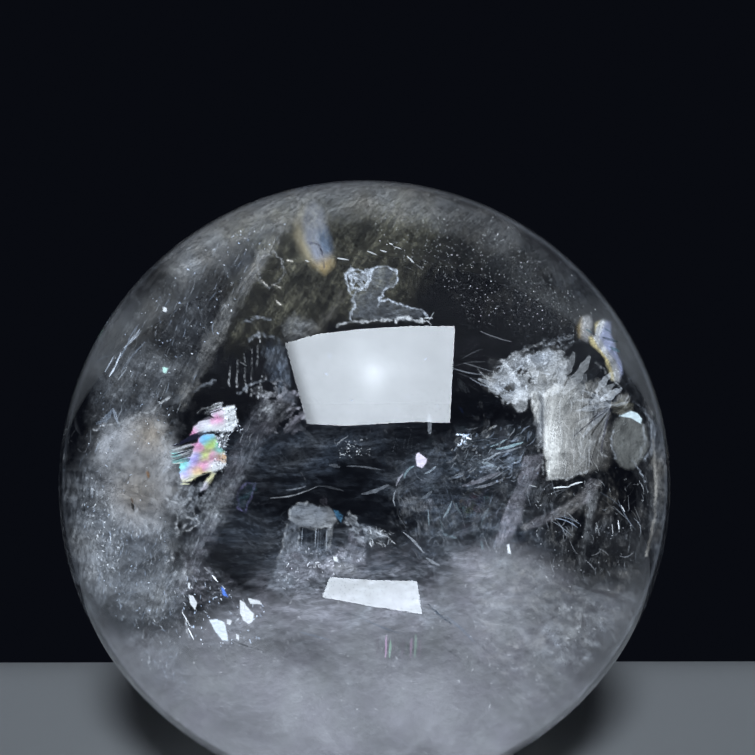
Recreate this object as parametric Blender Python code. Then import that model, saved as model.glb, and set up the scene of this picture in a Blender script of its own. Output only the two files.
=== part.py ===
"""A polished rock-crystal sphere with a small flat ground on its underside, so that it stands by itself.

The stone is one natural piece, so it is one solid. Metres, +Z up, origin at the middle of the resting flat.
"""

import math

import bmesh
import bpy
from mathutils import Vector

# Driving dimensions
SPHERE_DIAMETER = 0.060
RESTING_FLAT_DIAMETER = 0.010

# How finely the round surface is divided
SIDES_AROUND = 72
STEPS_FLAT_TO_EQUATOR = 16
STEPS_EQUATOR_TO_TOP = 18
SHARP_EDGE_ANGLE = math.radians(8)

# Rock crystal, colourless and polished
QUARTZ_COLOUR = (0.93, 0.94, 0.95, 1.0)
QUARTZ_ROUGHNESS = 0.03
QUARTZ_METALLIC = 0.0
QUARTZ_IOR = 1.544
QUARTZ_TRANSMISSION = 1.0

RADIUS = SPHERE_DIAMETER / 2
FLAT_RADIUS = RESTING_FLAT_DIAMETER / 2
CENTRE_HEIGHT = math.sqrt(RADIUS**2 - FLAT_RADIUS**2)


def clear_scene():
    """Removes whatever the startup file holds."""
    for obj in list(bpy.data.objects):
        bpy.data.objects.remove(obj)


def quartz_material():
    """Colourless quartz that light passes through."""
    material = bpy.data.materials.new("clear_quartz")
    material.use_nodes = True
    shader = material.node_tree.nodes["Principled BSDF"]
    shader.inputs["Base Color"].default_value = QUARTZ_COLOUR
    shader.inputs["Roughness"].default_value = QUARTZ_ROUGHNESS
    shader.inputs["Metallic"].default_value = QUARTZ_METALLIC
    shader.inputs["IOR"].default_value = QUARTZ_IOR
    shader.inputs["Transmission Weight"].default_value = QUARTZ_TRANSMISSION
    return material


def profile_angles():
    """Angles up from the lowest point, from the flat's edge through the equator to the step below the top."""
    flat_edge = math.asin(FLAT_RADIUS / RADIUS)
    equator = math.pi / 2
    lower_step = (equator - flat_edge) / STEPS_FLAT_TO_EQUATOR
    upper_step = equator / STEPS_EQUATOR_TO_TOP
    lower = [flat_edge + lower_step * i for i in range(STEPS_FLAT_TO_EQUATOR)]
    upper = [equator + upper_step * i for i in range(STEPS_EQUATOR_TO_TOP)]
    return lower + upper


def add_ring(mesh, angle):
    """One level ring of vertices on the sphere, at that angle up from its lowest point."""
    ring_radius = RADIUS * math.sin(angle)
    height = CENTRE_HEIGHT - RADIUS * math.cos(angle)
    ring = []
    for side in range(SIDES_AROUND):
        turn = math.tau * side / SIDES_AROUND
        point = Vector((ring_radius * math.cos(turn), ring_radius * math.sin(turn), height))
        ring.append(mesh.verts.new(point))
    return ring


def join_rings(mesh, lower, upper):
    """A band of four-sided faces between two rings, facing outwards."""
    for side in range(SIDES_AROUND):
        after = (side + 1) % SIDES_AROUND
        mesh.faces.new((lower[side], lower[after], upper[after], upper[side]))


def sphere_mesh():
    """The sphere's skin, closed below by the resting flat and above by a fan round the top point."""
    mesh = bmesh.new()
    rings = [add_ring(mesh, angle) for angle in profile_angles()]
    for lower, upper in zip(rings, rings[1:]):
        join_rings(mesh, lower, upper)
    mesh.faces.new(list(reversed(rings[0])))
    top = mesh.verts.new(Vector((0, 0, CENTRE_HEIGHT + RADIUS)))
    for side in range(SIDES_AROUND):
        mesh.faces.new((rings[-1][side], rings[-1][(side + 1) % SIDES_AROUND], top))
    data = bpy.data.meshes.new("quartz_sphere")
    mesh.to_mesh(data)
    mesh.free()
    return data


def build_sphere():
    """The whole stone, standing on its flat at the origin."""
    sphere = bpy.data.objects.new("quartz_sphere", sphere_mesh())
    bpy.context.scene.collection.objects.link(sphere)
    sphere.data.materials.append(quartz_material())
    sphere.data.shade_smooth()
    sphere.data.set_sharp_from_angle(angle=SHARP_EDGE_ANGLE)


clear_scene()
build_sphere()
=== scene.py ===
"""A polished rock-crystal sphere as photographed: clear quartz with veils, fractures and clouds inside.

Every flaw is placed where the photograph shows it, by following the camera's line of sight into the stone.
Columns and rows are pixels of the photograph's frame. A depth is the share of the way through the stone
along that line of sight, 0 at its front and 1 at its back.
"""

import math
from dataclasses import dataclass

import bmesh
import bpy
import numpy as np
from mathutils import Matrix, Vector


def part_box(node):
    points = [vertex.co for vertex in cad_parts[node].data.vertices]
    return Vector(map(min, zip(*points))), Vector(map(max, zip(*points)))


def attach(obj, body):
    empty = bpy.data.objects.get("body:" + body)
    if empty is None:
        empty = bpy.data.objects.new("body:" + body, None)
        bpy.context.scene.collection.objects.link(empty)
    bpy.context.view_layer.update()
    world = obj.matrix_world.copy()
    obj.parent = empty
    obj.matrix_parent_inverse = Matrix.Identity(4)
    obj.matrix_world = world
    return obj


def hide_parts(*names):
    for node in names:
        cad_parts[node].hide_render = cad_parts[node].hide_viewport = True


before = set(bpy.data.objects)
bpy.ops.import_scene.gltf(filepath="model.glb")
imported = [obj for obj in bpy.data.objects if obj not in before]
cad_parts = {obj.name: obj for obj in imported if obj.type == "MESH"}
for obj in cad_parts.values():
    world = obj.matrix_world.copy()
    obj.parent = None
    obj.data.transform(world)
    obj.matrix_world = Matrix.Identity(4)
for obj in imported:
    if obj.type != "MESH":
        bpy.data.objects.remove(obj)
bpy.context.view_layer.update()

STONE = "quartz_sphere"
BODY = "root"

# The stone, read from the frame
stone_low, stone_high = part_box(STONE)
RADIUS = (stone_high.x - stone_low.x) / 2
CENTRE = Vector((0.0, 0.0, stone_high.z - RADIUS))
QUARTZ_IOR = 1.544

# The photograph's frame, in its pixels, and where the sphere's outline lies in it
PHOTO_SIZE = 755
PHOTO_MIDDLE = PHOTO_SIZE / 2
OUTLINE_CENTRE = (364.7, 484.3)
OUTLINE_RADIUS = 305.5
PIXEL = RADIUS / OUTLINE_RADIUS
TABLE_EDGE_ROW = 662

# How near the sphere's outline and its skin the flaws may reach, as shares of its radius
RIM_LIMIT = 0.994
RIM_FADE = 0.008
BLADE_LIMIT = RIM_LIMIT - 0.02
SCATTER_LIMIT = 0.93
SKIN_LIMIT = 0.985
FLAT_GAP = 0.01

# The least and greatest depth that anything has
SHALLOWEST = 0.02
DEEPEST = 0.98

# A length beyond any here, and two that stand in for none where a length is divided by
FAR_OFF = 1e9
TINY = 1e-9
LEAST_SPAN = 1e-6

# The camera
LENS_MM = 100.0
SENSOR_MM = 36.0
CLIP_START = 0.005
ELEVATION = math.radians(10)
FOCAL_PIXELS = LENS_MM / SENSOR_MM * PHOTO_SIZE

# Tints of the flaws
WHITE = (0.90, 0.91, 0.93)
COOL = (0.74, 0.79, 0.88)
BLUISH = (0.55, 0.68, 0.90)
LILAC = (0.82, 0.78, 0.88)
BEIGE = (0.86, 0.80, 0.72)
OLIVE = (0.62, 0.58, 0.42)
CREAM = (0.92, 0.90, 0.86)


# Camera and lines of sight


def camera_stand():
    """The camera's place and rotation: level, with the sphere where the photograph has it."""
    half_angle = math.atan(OUTLINE_RADIUS / FOCAL_PIXELS)
    distance = RADIUS / math.sin(half_angle)
    back = Vector((0.0, -math.cos(ELEVATION), math.sin(ELEVATION)))
    right = OUTLINE_CENTRE[0] - PHOTO_MIDDLE
    up = PHOTO_MIDDLE - OUTLINE_CENTRE[1]
    aim = Vector((right, up, -FOCAL_PIXELS)).normalized()
    upright = math.hypot(aim.y, aim.z)
    pitch = math.asin(math.sin(ELEVATION) / upright) - math.atan2(-aim.y, -aim.z)
    ahead = -aim.z * math.cos(pitch) + aim.y * math.sin(pitch)
    yaw = math.atan2(aim.x, ahead)
    turn = Matrix.Rotation(yaw, 3, "Z") @ Matrix.Rotation(math.pi / 2 - pitch, 3, "X")
    return CENTRE + back * distance, turn


CAMERA_PLACE, CAMERA_TURN = camera_stand()


def add_camera():
    """The camera, which the scene uses."""
    data = bpy.data.cameras.new("camera")
    data.lens = LENS_MM
    data.sensor_width = SENSOR_MM
    data.clip_start = CLIP_START
    camera = bpy.data.objects.new("camera", data)
    bpy.context.scene.collection.objects.link(camera)
    camera.matrix_world = Matrix.Translation(CAMERA_PLACE) @ CAMERA_TURN.to_4x4()
    bpy.context.scene.camera = camera


def sight_lines(columns, rows):
    """Unit directions in which the camera sees these pixels."""
    ahead = np.full(len(rows), -FOCAL_PIXELS)
    local = np.stack([columns - PHOTO_MIDDLE, PHOTO_MIDDLE - rows, ahead], axis=1)
    world = local @ np.array(CAMERA_TURN).T
    return world / np.linalg.norm(world, axis=1, keepdims=True)


def entries(columns, rows):
    """Where the sight lines meet the stone, from its centre, with the normals there and the directions."""
    ways = sight_lines(columns, rows)
    start = np.array(CAMERA_PLACE - CENTRE)
    along = ways @ start
    gap = np.maximum(along**2 - (start @ start - RADIUS**2), 0.0)
    points = start + ways * (-along - np.sqrt(gap))[:, None]
    return points, points / np.linalg.norm(points, axis=1, keepdims=True), ways


def into_stone(columns, rows, depths):
    """The points inside the stone that show at these pixels, at these depths, as quartz bends the light."""
    points, normals, ways = entries(columns, rows)
    facing = -(ways * normals).sum(axis=1)
    ratio = 1 / QUARTZ_IOR
    turned_in = ratio * facing - np.sqrt(1 - ratio**2 * (1 - facing**2))
    inner = ratio * ways + turned_in[:, None] * normals
    chord = -2 * (points * inner).sum(axis=1)
    share = np.clip(depths, SHALLOWEST, DEEPEST)
    return points + inner * (chord * share)[:, None] + np.array(CENTRE)


def depths_at_level(columns, rows, level):
    """Depths where the sight lines cross a plane that faces the camera.

    The level says how far behind the stone's middle the plane lies, as a share of its radius.
    """
    near = into_stone(columns, rows, np.full(len(columns), SHALLOWEST))
    far = into_stone(columns, rows, np.full(len(columns), DEEPEST))
    ahead = np.array((CENTRE - CAMERA_PLACE).normalized())
    start = (near - np.array(CENTRE)) @ ahead
    end = (far - np.array(CENTRE)) @ ahead
    reach = (DEEPEST - SHALLOWEST) * (level * RADIUS - start)
    return SHALLOWEST + reach / np.maximum(end - start, LEAST_SPAN)


def depths_at(columns, rows, depth, level):
    """That depth everywhere, or the depths of the plane at that level if one is given."""
    return depth if level is None else depths_at_level(columns, rows, level)


def mirrored(columns, rows):
    """Points on the stone's surface at these pixels, and the directions that its polish mirrors there."""
    points, normals, ways = entries(columns, rows)
    bounce = ways - 2 * (ways * normals).sum(axis=1)[:, None] * normals
    return points + np.array(CENTRE), bounce


# Random patterns over the picture's plane

# How many cells a pattern has before it repeats, and how strong its gradients are
PATTERN_CELLS = 64
NOISE_GAIN = 1.5

# Each octave of a fractal is finer and fainter than the one before, and is moved along by this much
FINER = 2.03
FAINTER = 0.6
OCTAVE_SHIFT = (11.3, 7.7)
FRACTAL_RANGE = 1.3


def smooth_noise(u, v, seed):
    """Gradient noise, from about -1 to 1, with one bump to a unit of u and v."""
    turns = np.random.default_rng(seed).random((PATTERN_CELLS, PATTERN_CELLS)) * math.tau
    cell_u = np.floor(u).astype(int)
    cell_v = np.floor(v).astype(int)
    in_u = u - cell_u
    in_v = v - cell_v

    def corner(step_u, step_v):
        angle = turns[(cell_u + step_u) % PATTERN_CELLS, (cell_v + step_v) % PATTERN_CELLS]
        return np.cos(angle) * (in_u - step_u) + np.sin(angle) * (in_v - step_v)

    blend_u = in_u**3 * (in_u * (in_u * 6 - 15) + 10)
    blend_v = in_v**3 * (in_v * (in_v * 6 - 15) + 10)
    near = corner(0, 0) * (1 - blend_u) + corner(1, 0) * blend_u
    far = corner(0, 1) * (1 - blend_u) + corner(1, 1) * blend_u
    return (near * (1 - blend_v) + far * blend_v) * NOISE_GAIN


def cell_pattern(u, v, seed):
    """Cells of random shape: each pixel's cell value from 0 to 1, and its distance from its cell's edge."""
    nudge_u, nudge_v, values = np.random.default_rng(seed).random((3, PATTERN_CELLS, PATTERN_CELLS))
    cell_u = np.floor(u).astype(int)
    cell_v = np.floor(v).astype(int)
    nearest = np.full(len(u), FAR_OFF)
    second = np.full(len(u), FAR_OFF)
    found = np.zeros(len(u))
    for step_u in (-1, 0, 1):
        for step_v in (-1, 0, 1):
            at = (cell_u + step_u) % PATTERN_CELLS, (cell_v + step_v) % PATTERN_CELLS
            gap = np.hypot(cell_u + step_u + nudge_u[at] - u, cell_v + step_v + nudge_v[at] - v)
            found = np.where(gap < nearest, values[at], found)
            second = np.minimum(second, np.maximum(gap, nearest))
            nearest = np.minimum(nearest, gap)
    return found, second - nearest


def fractal(u, v, seed, octaves):
    """Noise of several sizes, from about -1 to 1."""
    total = np.zeros_like(u)
    for octave in range(octaves):
        fine_u = u * FINER**octave + OCTAVE_SHIFT[0] * octave
        fine_v = v * FINER**octave + OCTAVE_SHIFT[1] * octave
        total += smooth_noise(fine_u, fine_v, seed + octave) * FAINTER**octave
    return total / FRACTAL_RANGE


def clouds(columns, rows, size, seed, octaves):
    """Noise of several sizes, whose largest bumps are this many pixels wide."""
    return fractal(columns / size, rows / size, seed, octaves)


def turned(columns, rows, degrees):
    """Distances along and across a direction, which is given in degrees anticlockwise from rightwards."""
    angle = math.radians(degrees)
    along = columns * math.cos(angle) - rows * math.sin(angle)
    across = columns * math.sin(angle) + rows * math.cos(angle)
    return along, across


def fade(values, low, high):
    """Smooth steps from 0 at low to 1 at high."""
    share = np.clip((values - low) / (high - low), 0, 1)
    return share * share * (3 - 2 * share)


def distance_to_path(path, columns, rows):
    """How far each pixel lies from a line through these points."""
    nearest = np.full(len(columns), FAR_OFF)
    for (x0, y0), (x1, y1) in zip(path, path[1:]):
        dx, dy = x1 - x0, y1 - y0
        share = np.clip(((columns - x0) * dx + (rows - y0) * dy) / (dx * dx + dy * dy), 0, 1)
        nearest = np.minimum(nearest, np.hypot(columns - x0 - share * dx, rows - y0 - share * dy))
    return nearest


def reach_inside(outline, columns, rows):
    """How far each pixel lies inside the outline, less than nothing outside it."""
    closed = outline + outline[:1]
    inside = np.zeros(len(columns), bool)
    for (x0, y0), (x1, y1) in zip(closed, closed[1:]):
        crosses = (y0 > rows) != (y1 > rows)
        inside ^= crosses & (columns < x0 + (rows - y0) * (x1 - x0) / ((y1 - y0) or TINY))
    nearest = distance_to_path(closed, columns, rows)
    return np.where(inside, nearest, -nearest)


def from_middle(columns, rows):
    """Distance from the middle of the sphere's outline, as a share of its radius."""
    return np.hypot(columns - OUTLINE_CENTRE[0], rows - OUTLINE_CENTRE[1]) / OUTLINE_RADIUS


def blot(columns, rows, column, row, reach):
    """A soft round spot, 1 at its middle."""
    return np.exp(-((columns - column) ** 2 + (rows - row) ** 2) / (2 * reach**2))


def within_rim(columns, rows):
    """1 well inside the sphere's outline, and 0 from just within it outwards."""
    return fade(RIM_LIMIT - from_middle(columns, rows), 0, RIM_FADE)


# Meshes

# What the key lamp lights, and what can shade it: light enters the clear stone as if its skin were not there
FLAWS = bpy.data.collections.new("flaws")
SHADERS = bpy.data.collections.new("key_lamp_shaders")


def new_object(name, points, faces, corners):
    """A mesh object from arrays, all of whose faces have the same number of corners."""
    data = bpy.data.meshes.new(name)
    data.vertices.add(len(points))
    data.vertices.foreach_set("co", np.asarray(points, np.float32).ravel())
    data.loops.add(len(faces) * corners)
    data.loops.foreach_set("vertex_index", np.asarray(faces, np.int32).ravel())
    data.polygons.add(len(faces))
    data.polygons.foreach_set("loop_start", np.arange(0, len(faces) * corners, corners, dtype=np.int32))
    data.update(calc_edges=True)
    obj = bpy.data.objects.new(name, data)
    bpy.context.scene.collection.objects.link(obj)
    return obj


def set_values(obj, name, values):
    """A number at each point of a mesh."""
    layer = obj.data.attributes.new(name, "FLOAT", "POINT")
    layer.data.foreach_set("value", np.asarray(values, np.float32))


def set_colours(obj, name, colours):
    """A colour at each point of a mesh."""
    layer = obj.data.attributes.new(name, "FLOAT_COLOR", "POINT")
    full = np.ones((len(colours), 4), np.float32)
    full[:, :3] = colours
    layer.data.foreach_set("color", full.ravel())


def set_grain(obj, places):
    """A UV map that runs along and across the flaw's grain, in units of a streak."""
    layer = obj.data.uv_layers.new(name="grain")
    loops = np.zeros(len(obj.data.loops), np.int32)
    obj.data.loops.foreach_get("vertex_index", loops)
    layer.data.foreach_set("uv", np.asarray(places, np.float32)[loops].ravel())


def add_flaw(name, points, faces, corners, cover, tints, material, grain=None, smooth=True):
    """One flaw inside the stone: a mesh with how much it covers and its tint at each point."""
    obj = new_object(name, points, faces, corners)
    set_values(obj, "cover", cover)
    set_colours(obj, "tint", tints)
    if grain is not None:
        set_grain(obj, grain)
    if smooth:
        obj.data.shade_smooth()
    obj.data.materials.append(material)
    obj.visible_shadow = False
    FLAWS.objects.link(obj)
    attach(obj, BODY)
    return obj


# Materials

# How many pixels wide the grain is where a flaw has no grain map
BARE_GRAIN = 5.0


def new_material(name):
    """An empty material and its node tree."""
    material = bpy.data.materials.new(name)
    material.use_nodes = True
    material.node_tree.nodes.clear()
    return material, material.node_tree


def node(tree, kind, values=None, **settings):
    """A shader node with its sockets set from values and its own settings from the keywords."""
    made = tree.nodes.new(kind)
    for name, value in settings.items():
        setattr(made, name, value)
    for name, value in (values or {}).items():
        if isinstance(value, bpy.types.NodeSocket):
            tree.links.new(value, made.inputs[name])
        else:
            made.inputs[name].default_value = value
    return made


def finish_material(tree, surface):
    """Leads a shader to the material's output."""
    output = node(tree, "ShaderNodeOutputMaterial")
    tree.links.new(surface, output.inputs["Surface"])


def maths(tree, operation, first, second):
    """A sum or product of two sockets or numbers."""
    made = node(tree, "ShaderNodeMath", operation=operation)
    for socket, value in zip(made.inputs, (first, second)):
        if isinstance(value, bpy.types.NodeSocket):
            tree.links.new(value, socket)
        else:
            socket.default_value = value
    return made.outputs[0]


def grain_pattern(tree, low, high, mapped):
    """Fine noise between low and high, along the flaw's own grain map, or through the object if unmapped."""
    if mapped:
        place = node(tree, "ShaderNodeUVMap", uv_map="grain").outputs[0]
        scale = 1.0
    else:
        place = node(tree, "ShaderNodeTexCoord").outputs["Object"]
        scale = 1 / (BARE_GRAIN * PIXEL)
    texture = {"Vector": place, "Scale": scale, "Detail": 3.0, "Roughness": 0.7}
    detail = node(tree, "ShaderNodeTexNoise", texture).outputs["Fac"]
    limits = {"From Min": 0.3, "From Max": 0.7, "To Min": low, "To Max": high}
    return node(tree, "ShaderNodeMapRange", {"Value": detail, **limits}).outputs[0]


def flaw_material(name, grain=None, mapped=True, roughness=1.0, specular=0.0):
    """Matter tinted and covered by its values at each point, and broken up by grain where it has some."""
    material, tree = new_material(name)
    cover = node(tree, "ShaderNodeAttribute", attribute_name="cover").outputs["Fac"]
    tint = node(tree, "ShaderNodeAttribute", attribute_name="tint").outputs["Color"]
    if grain is not None:
        cover = maths(tree, "MULTIPLY", cover, grain_pattern(tree, *grain, mapped))
    sockets = {"Base Color": tint, "Roughness": roughness, "Specular IOR Level": specular, "Alpha": cover}
    shader = node(tree, "ShaderNodeBsdfPrincipled", sockets)
    finish_material(tree, shader.outputs[0])
    return material


# What the flaws are made of: veils, smoother veils, leaves with no grain map, plain specks and glossy chips
VEIL = flaw_material("veil", (0.2, 1.8))
SILK = flaw_material("silk", (0.75, 1.25))
LEAF = flaw_material("leaf", (0.3, 1.7), mapped=False)
MIST = flaw_material("mist")
CHIP = flaw_material("chip", roughness=0.25, specular=0.5)


# Brushes

# How many pixels wide a film's patterns are, and a step of its grain map along and across
WARP_SIZE = 60
PATCH_SIZE = 34
JOLT_SIZE = 5
BEND_SIZE = 70
RUFFLE_SIZE = 14
TINT_SIZE = 35
GRAIN_LENGTH = 9
GRAIN_WIDTH = 3

# How far a film's streaks and facets are pushed about, in pixels
WARP_REACH = 10
JOLT_REACH = 2.5

# The cover below which a film or trace has no face
LEAST_COVER = 0.003


@dataclass
class Film:
    """How a film lies and looks. Lengths are in pixels, and the angle is in degrees from rightwards."""

    # Its place: a depth, or a level for a plane that faces the camera, and how far it bends and ruffles
    depth: float = 0.5
    level: float = None
    bend: float = 0.02
    rough: float = 0.004
    # How much it covers, and its streaks
    strength: float = 0.1
    angle: float = 60
    length: float = 30
    width: float = 4
    sharpness: float = 1.5
    base: float = 0.5
    wispy: bool = False
    # Its patches, its mosaic with holes, its speckle, and how fine its grain is
    patchy: float = 0.0
    mosaic: float = 0.0
    cell: tuple = (9, 5)
    holes: float = 0.0
    speckle: float = 0.2
    fine: float = 1.0
    # Its edge, the step of its grid, and a function that shades it
    ragged: float = 8
    fray: float = 22
    soft: float = 12
    step: float = 1.8
    shade_at: object = None
    # Its colours, or a function that gives them, and its material
    tint: tuple = COOL
    second: tuple = None
    tint_at: object = None
    material: object = VEIL


def film_grid(outline, margin, step):
    """Pixels on a grid over the outline and a margin, as grids of columns and rows."""
    xs = [p[0] for p in outline]
    ys = [p[1] for p in outline]
    return np.meshgrid(
        np.arange(min(xs) - margin, max(xs) + margin + step, step),
        np.arange(min(ys) - margin, max(ys) + margin + step, step),
    )


def grid_faces(shape_2d):
    """The four point numbers at the corners of each square of a grid."""
    index = np.arange(shape_2d[0] * shape_2d[1]).reshape(shape_2d)
    return np.stack([index[:-1, :-1], index[1:, :-1], index[1:, 1:], index[:-1, 1:]], axis=-1)


def kept_faces(cover, columns, rows, shape_2d):
    """The squares that cover anything and lie in the sphere: the points they use, and their corners."""
    keep = (cover > LEAST_COVER).reshape(shape_2d)
    wanted = keep[:-1, :-1] | keep[1:, :-1] | keep[:-1, 1:] | keep[1:, 1:]
    inside = (from_middle(columns, rows) < RIM_LIMIT).reshape(shape_2d)
    wanted &= inside[:-1, :-1] & inside[1:, :-1] & inside[:-1, 1:] & inside[1:, 1:]
    quads = grid_faces(shape_2d)[wanted]
    used, faces = np.unique(quads, return_inverse=True)
    return used, faces.reshape(quads.shape)


def blended(first, second, share):
    """A tint at each point, from the second at a share of 0 to the first at 1, or the first alone."""
    share = share[:, None]
    return np.array(first) * share + np.array(first if second is None else second) * (1 - share)


def mixed_tints(columns, rows, tint, second, seed):
    """Clouds of two tints that melt into each other."""
    share = np.clip(0.5 + 0.8 * clouds(columns, rows, TINT_SIZE, seed, 2), 0, 1)
    return blended(tint, second, share)


def streaks(film, along, across, seed):
    """A streaky pattern that averages about 1, with thin bright wisps if wispy."""
    waves = fractal(along / film.length, across / film.width, seed, 4)
    bright = np.clip(1 - 2.2 * np.abs(waves) if film.wispy else 0.5 + 0.75 * waves, 0, 1) ** film.sharpness
    return film.base + (1 - film.base) * bright * 2


def facets(film, along, across, seed):
    """A mosaic of angular cells, each of its own strength, a share of which are holes."""
    values, rim = cell_pattern(along / film.cell[0], across / film.cell[1], seed)
    edges = 0.5 * film.mosaic * fade(-rim, -0.12, 0.0)
    return (1 + film.mosaic * (2 * values - 1) + edges) * (values > film.holes)


def film_cover(film, outline, seed, columns, rows, along, across):
    """How much a film covers at each pixel."""
    fraying = film.ragged * clouds(columns, rows, film.fray, seed + 50, 3)
    cover = film.strength * fade(reach_inside(outline, columns, rows) + fraying, -film.soft, film.soft)
    cover *= streaks(film, along, across, seed)
    patches = fade(clouds(columns, rows, PATCH_SIZE, seed + 90, 3), -0.35, 0.25)
    cover *= 1 - film.patchy + film.patchy * patches * 1.6
    if film.mosaic:
        jolt = JOLT_REACH * clouds(columns, rows, JOLT_SIZE, seed + 55, 2)
        cover *= facets(film, along + jolt, across + jolt, seed + 65)
    if film.shade_at is not None:
        cover *= film.shade_at(columns, rows)
    cover *= np.clip(1 + film.speckle * np.random.default_rng(seed).normal(size=len(cover)), 0.2, 2.5)
    return np.clip(cover, 0, 1) * within_rim(columns, rows)


def film_depths(film, seed, columns, rows):
    """How deep a film lies at each pixel, bent and ruffled."""
    depths = depths_at(columns, rows, film.depth, film.level)
    depths = depths + film.bend * smooth_noise(columns / BEND_SIZE, rows / BEND_SIZE, seed + 70)
    return depths + film.rough * clouds(columns, rows, RUFFLE_SIZE, seed + 75, 3)


def add_film(name, outline, seed, **look):
    """A thin veil that fills the outline: streaky along an angle, ragged at its edge, and gently bent."""
    film = Film(**look)
    grid_columns, grid_rows = film_grid(outline, film.soft + film.ragged, film.step)
    columns, rows = grid_columns.ravel(), grid_rows.ravel()
    warp = WARP_REACH * clouds(columns, rows, WARP_SIZE, seed + 60, 2)
    along, across = turned(columns + warp, rows - warp, film.angle)
    cover = film_cover(film, outline, seed, columns, rows, along, across)
    depths = film_depths(film, seed, columns, rows)
    used, faces = kept_faces(cover, columns, rows, grid_columns.shape)
    columns, rows = columns[used], rows[used]
    points = into_stone(columns, rows, depths[used])
    if film.tint_at is None:
        tints = mixed_tints(columns, rows, film.tint, film.second, seed + 80)
    else:
        tints = film.tint_at(columns, rows)
    grain = np.stack([along[used] / GRAIN_LENGTH, across[used] / GRAIN_WIDTH], axis=1) * film.fine
    return add_flaw(name, points, faces, 4, cover[used], tints, film.material, grain)


# The cross films: their grid's step, how far they wave, and the rows below the middle where they set in
CROSS_STEP = 4.0
CROSS_WAVE = 14
CROSS_TOP = (92, 177)


def add_cross_film(name, seed, turn, shift, strength):
    """A soft veil on an upright plane in the lower part, turned about the vertical and shifted sideways."""
    span = np.arange(-OUTLINE_RADIUS, OUTLINE_RADIUS, CROSS_STEP)
    across, down = np.meshgrid(span, span)
    shape_2d = across.shape
    across, down = across.ravel(), down.ravel()
    angle = math.radians(turn)
    normal = np.array((math.cos(angle), math.sin(angle), 0.0))
    level_way = np.array((-math.sin(angle), math.cos(angle), 0.0))
    waves = CROSS_WAVE * clouds(across, down, 90, seed, 2)
    points = (shift * OUTLINE_RADIUS + waves)[:, None] * normal + across[:, None] * level_way
    points[:, 2] -= down
    from_centre = np.linalg.norm(points, axis=1) / OUTLINE_RADIUS
    cover = strength * fade(down, *CROSS_TOP) * (1 - fade(from_centre, 0.90, 0.97))
    cover *= 0.45 + 0.55 * fade(clouds(across, down, 45, seed + 5, 3), -0.5, 0.4)
    cover *= bottom_shade(points[:, 0] + OUTLINE_CENTRE[0], down)
    used, faces = kept_faces(cover, across + OUTLINE_CENTRE[0], down + OUTLINE_CENTRE[1], shape_2d)
    tints = mixed_tints(across[used], down[used], WHITE, LILAC, seed + 80)
    grain = np.stack([across[used] / 20, down[used] / 8], axis=1)
    places = points[used] * PIXEL + np.array(CENTRE)
    return add_flaw(name, places, faces, 4, cover[used], tints, SILK, grain)


# The step of a trace's grid, and how many pixels wide its wobbles and its changes of width are
TRACE_STEP = 1.0
WOBBLE_SIZE = 11
SWELL_SIZE = 4


def add_trace(name, paths, seed, depth=0.4, level=None, width=1.7, strength=0.13, wobble=3, tint=WHITE,
              broken=0.7, grit=4):
    """Frayed and broken lines along paths of pixels, such as the lit edges of cracks."""
    corners = [corner for path in paths for corner in path]
    grid_columns, grid_rows = film_grid(corners, width + wobble + 3, TRACE_STEP)
    columns, rows = grid_columns.ravel(), grid_rows.ravel()
    moved_x = columns + wobble * clouds(columns, rows, WOBBLE_SIZE, seed, 3)
    moved_y = rows + wobble * clouds(columns, rows, WOBBLE_SIZE, seed + 5, 3)
    distance = np.min([distance_to_path(path, moved_x, moved_y) for path in paths], axis=0)
    half = width / 2 * (1 + 0.8 * clouds(columns, rows, SWELL_SIZE, seed + 15, 2))
    breaks = fade(clouds(columns, rows, grit, seed + 25, 3), -0.3, 0.3)
    cover = strength * fade(half - distance, -0.8, 0.8) * (1 - broken + broken * breaks * 1.8)
    cover = np.clip(cover, 0, 1) * within_rim(columns, rows)
    depths = depths_at(columns, rows, depth, level)
    depths = depths + 0.02 * smooth_noise(columns / 30, rows / 30, seed + 35)
    used, faces = kept_faces(cover, columns, rows, grid_columns.shape)
    points = into_stone(columns[used], rows[used], depths[used])
    return add_flaw(name, points, faces, 4, cover[used], np.tile(np.array(tint), (len(used), 1)), MIST)


def repeated(faces, count, points_each):
    """The same faces for each of many pieces that have this many points each."""
    starts = np.arange(count) * points_each
    return (faces[None] + starts[:, None, None]).reshape(-1, faces.shape[1])


# How steeply blades lean out of the picture's plane, how blunt their tips are, and how ragged their sides
BLADE_TILT = 0.002
BLADE_TIP = 0.04
BLADE_SIDES = (0.6, 1.3)


def blade_points(blades, random, depth, level, blunt, stations):
    """Two points at each station of every blade, which tapers to both its ends, bows and leans."""
    count = len(blades)
    ahead = blades[:, 2:4] - blades[:, 0:2]
    longs = np.linalg.norm(ahead, axis=1)
    aside = np.stack([-ahead[:, 1], ahead[:, 0]], axis=1) / longs[:, None]
    slope_along, slope_across = random.normal(0, BLADE_TILT, (2, count))
    depths = random.uniform(*depth, count)
    points = []
    for share in np.linspace(0, 1, stations):
        fullness = math.sin(math.pi * min(max(share, BLADE_TIP), 1 - BLADE_TIP)) ** blunt
        bow = blades[:, 5] * 4 * share * (1 - share)
        for side in (-1, 1):
            half = side * blades[:, 4] / 2 * fullness * random.uniform(*BLADE_SIDES, count)
            places = blades[:, 0:2] + ahead * share + aside * (bow + half)[:, None]
            deeper = slope_along * (share - 0.5) * longs + slope_across * half
            if level is not None:
                deeper = deeper + depths_at_level(places[:, 0], places[:, 1], level) - np.mean(depth)
            points.append(into_stone(places[:, 0], places[:, 1], depths + deeper))
    return np.stack(points, axis=1).reshape(-1, 3)


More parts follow.
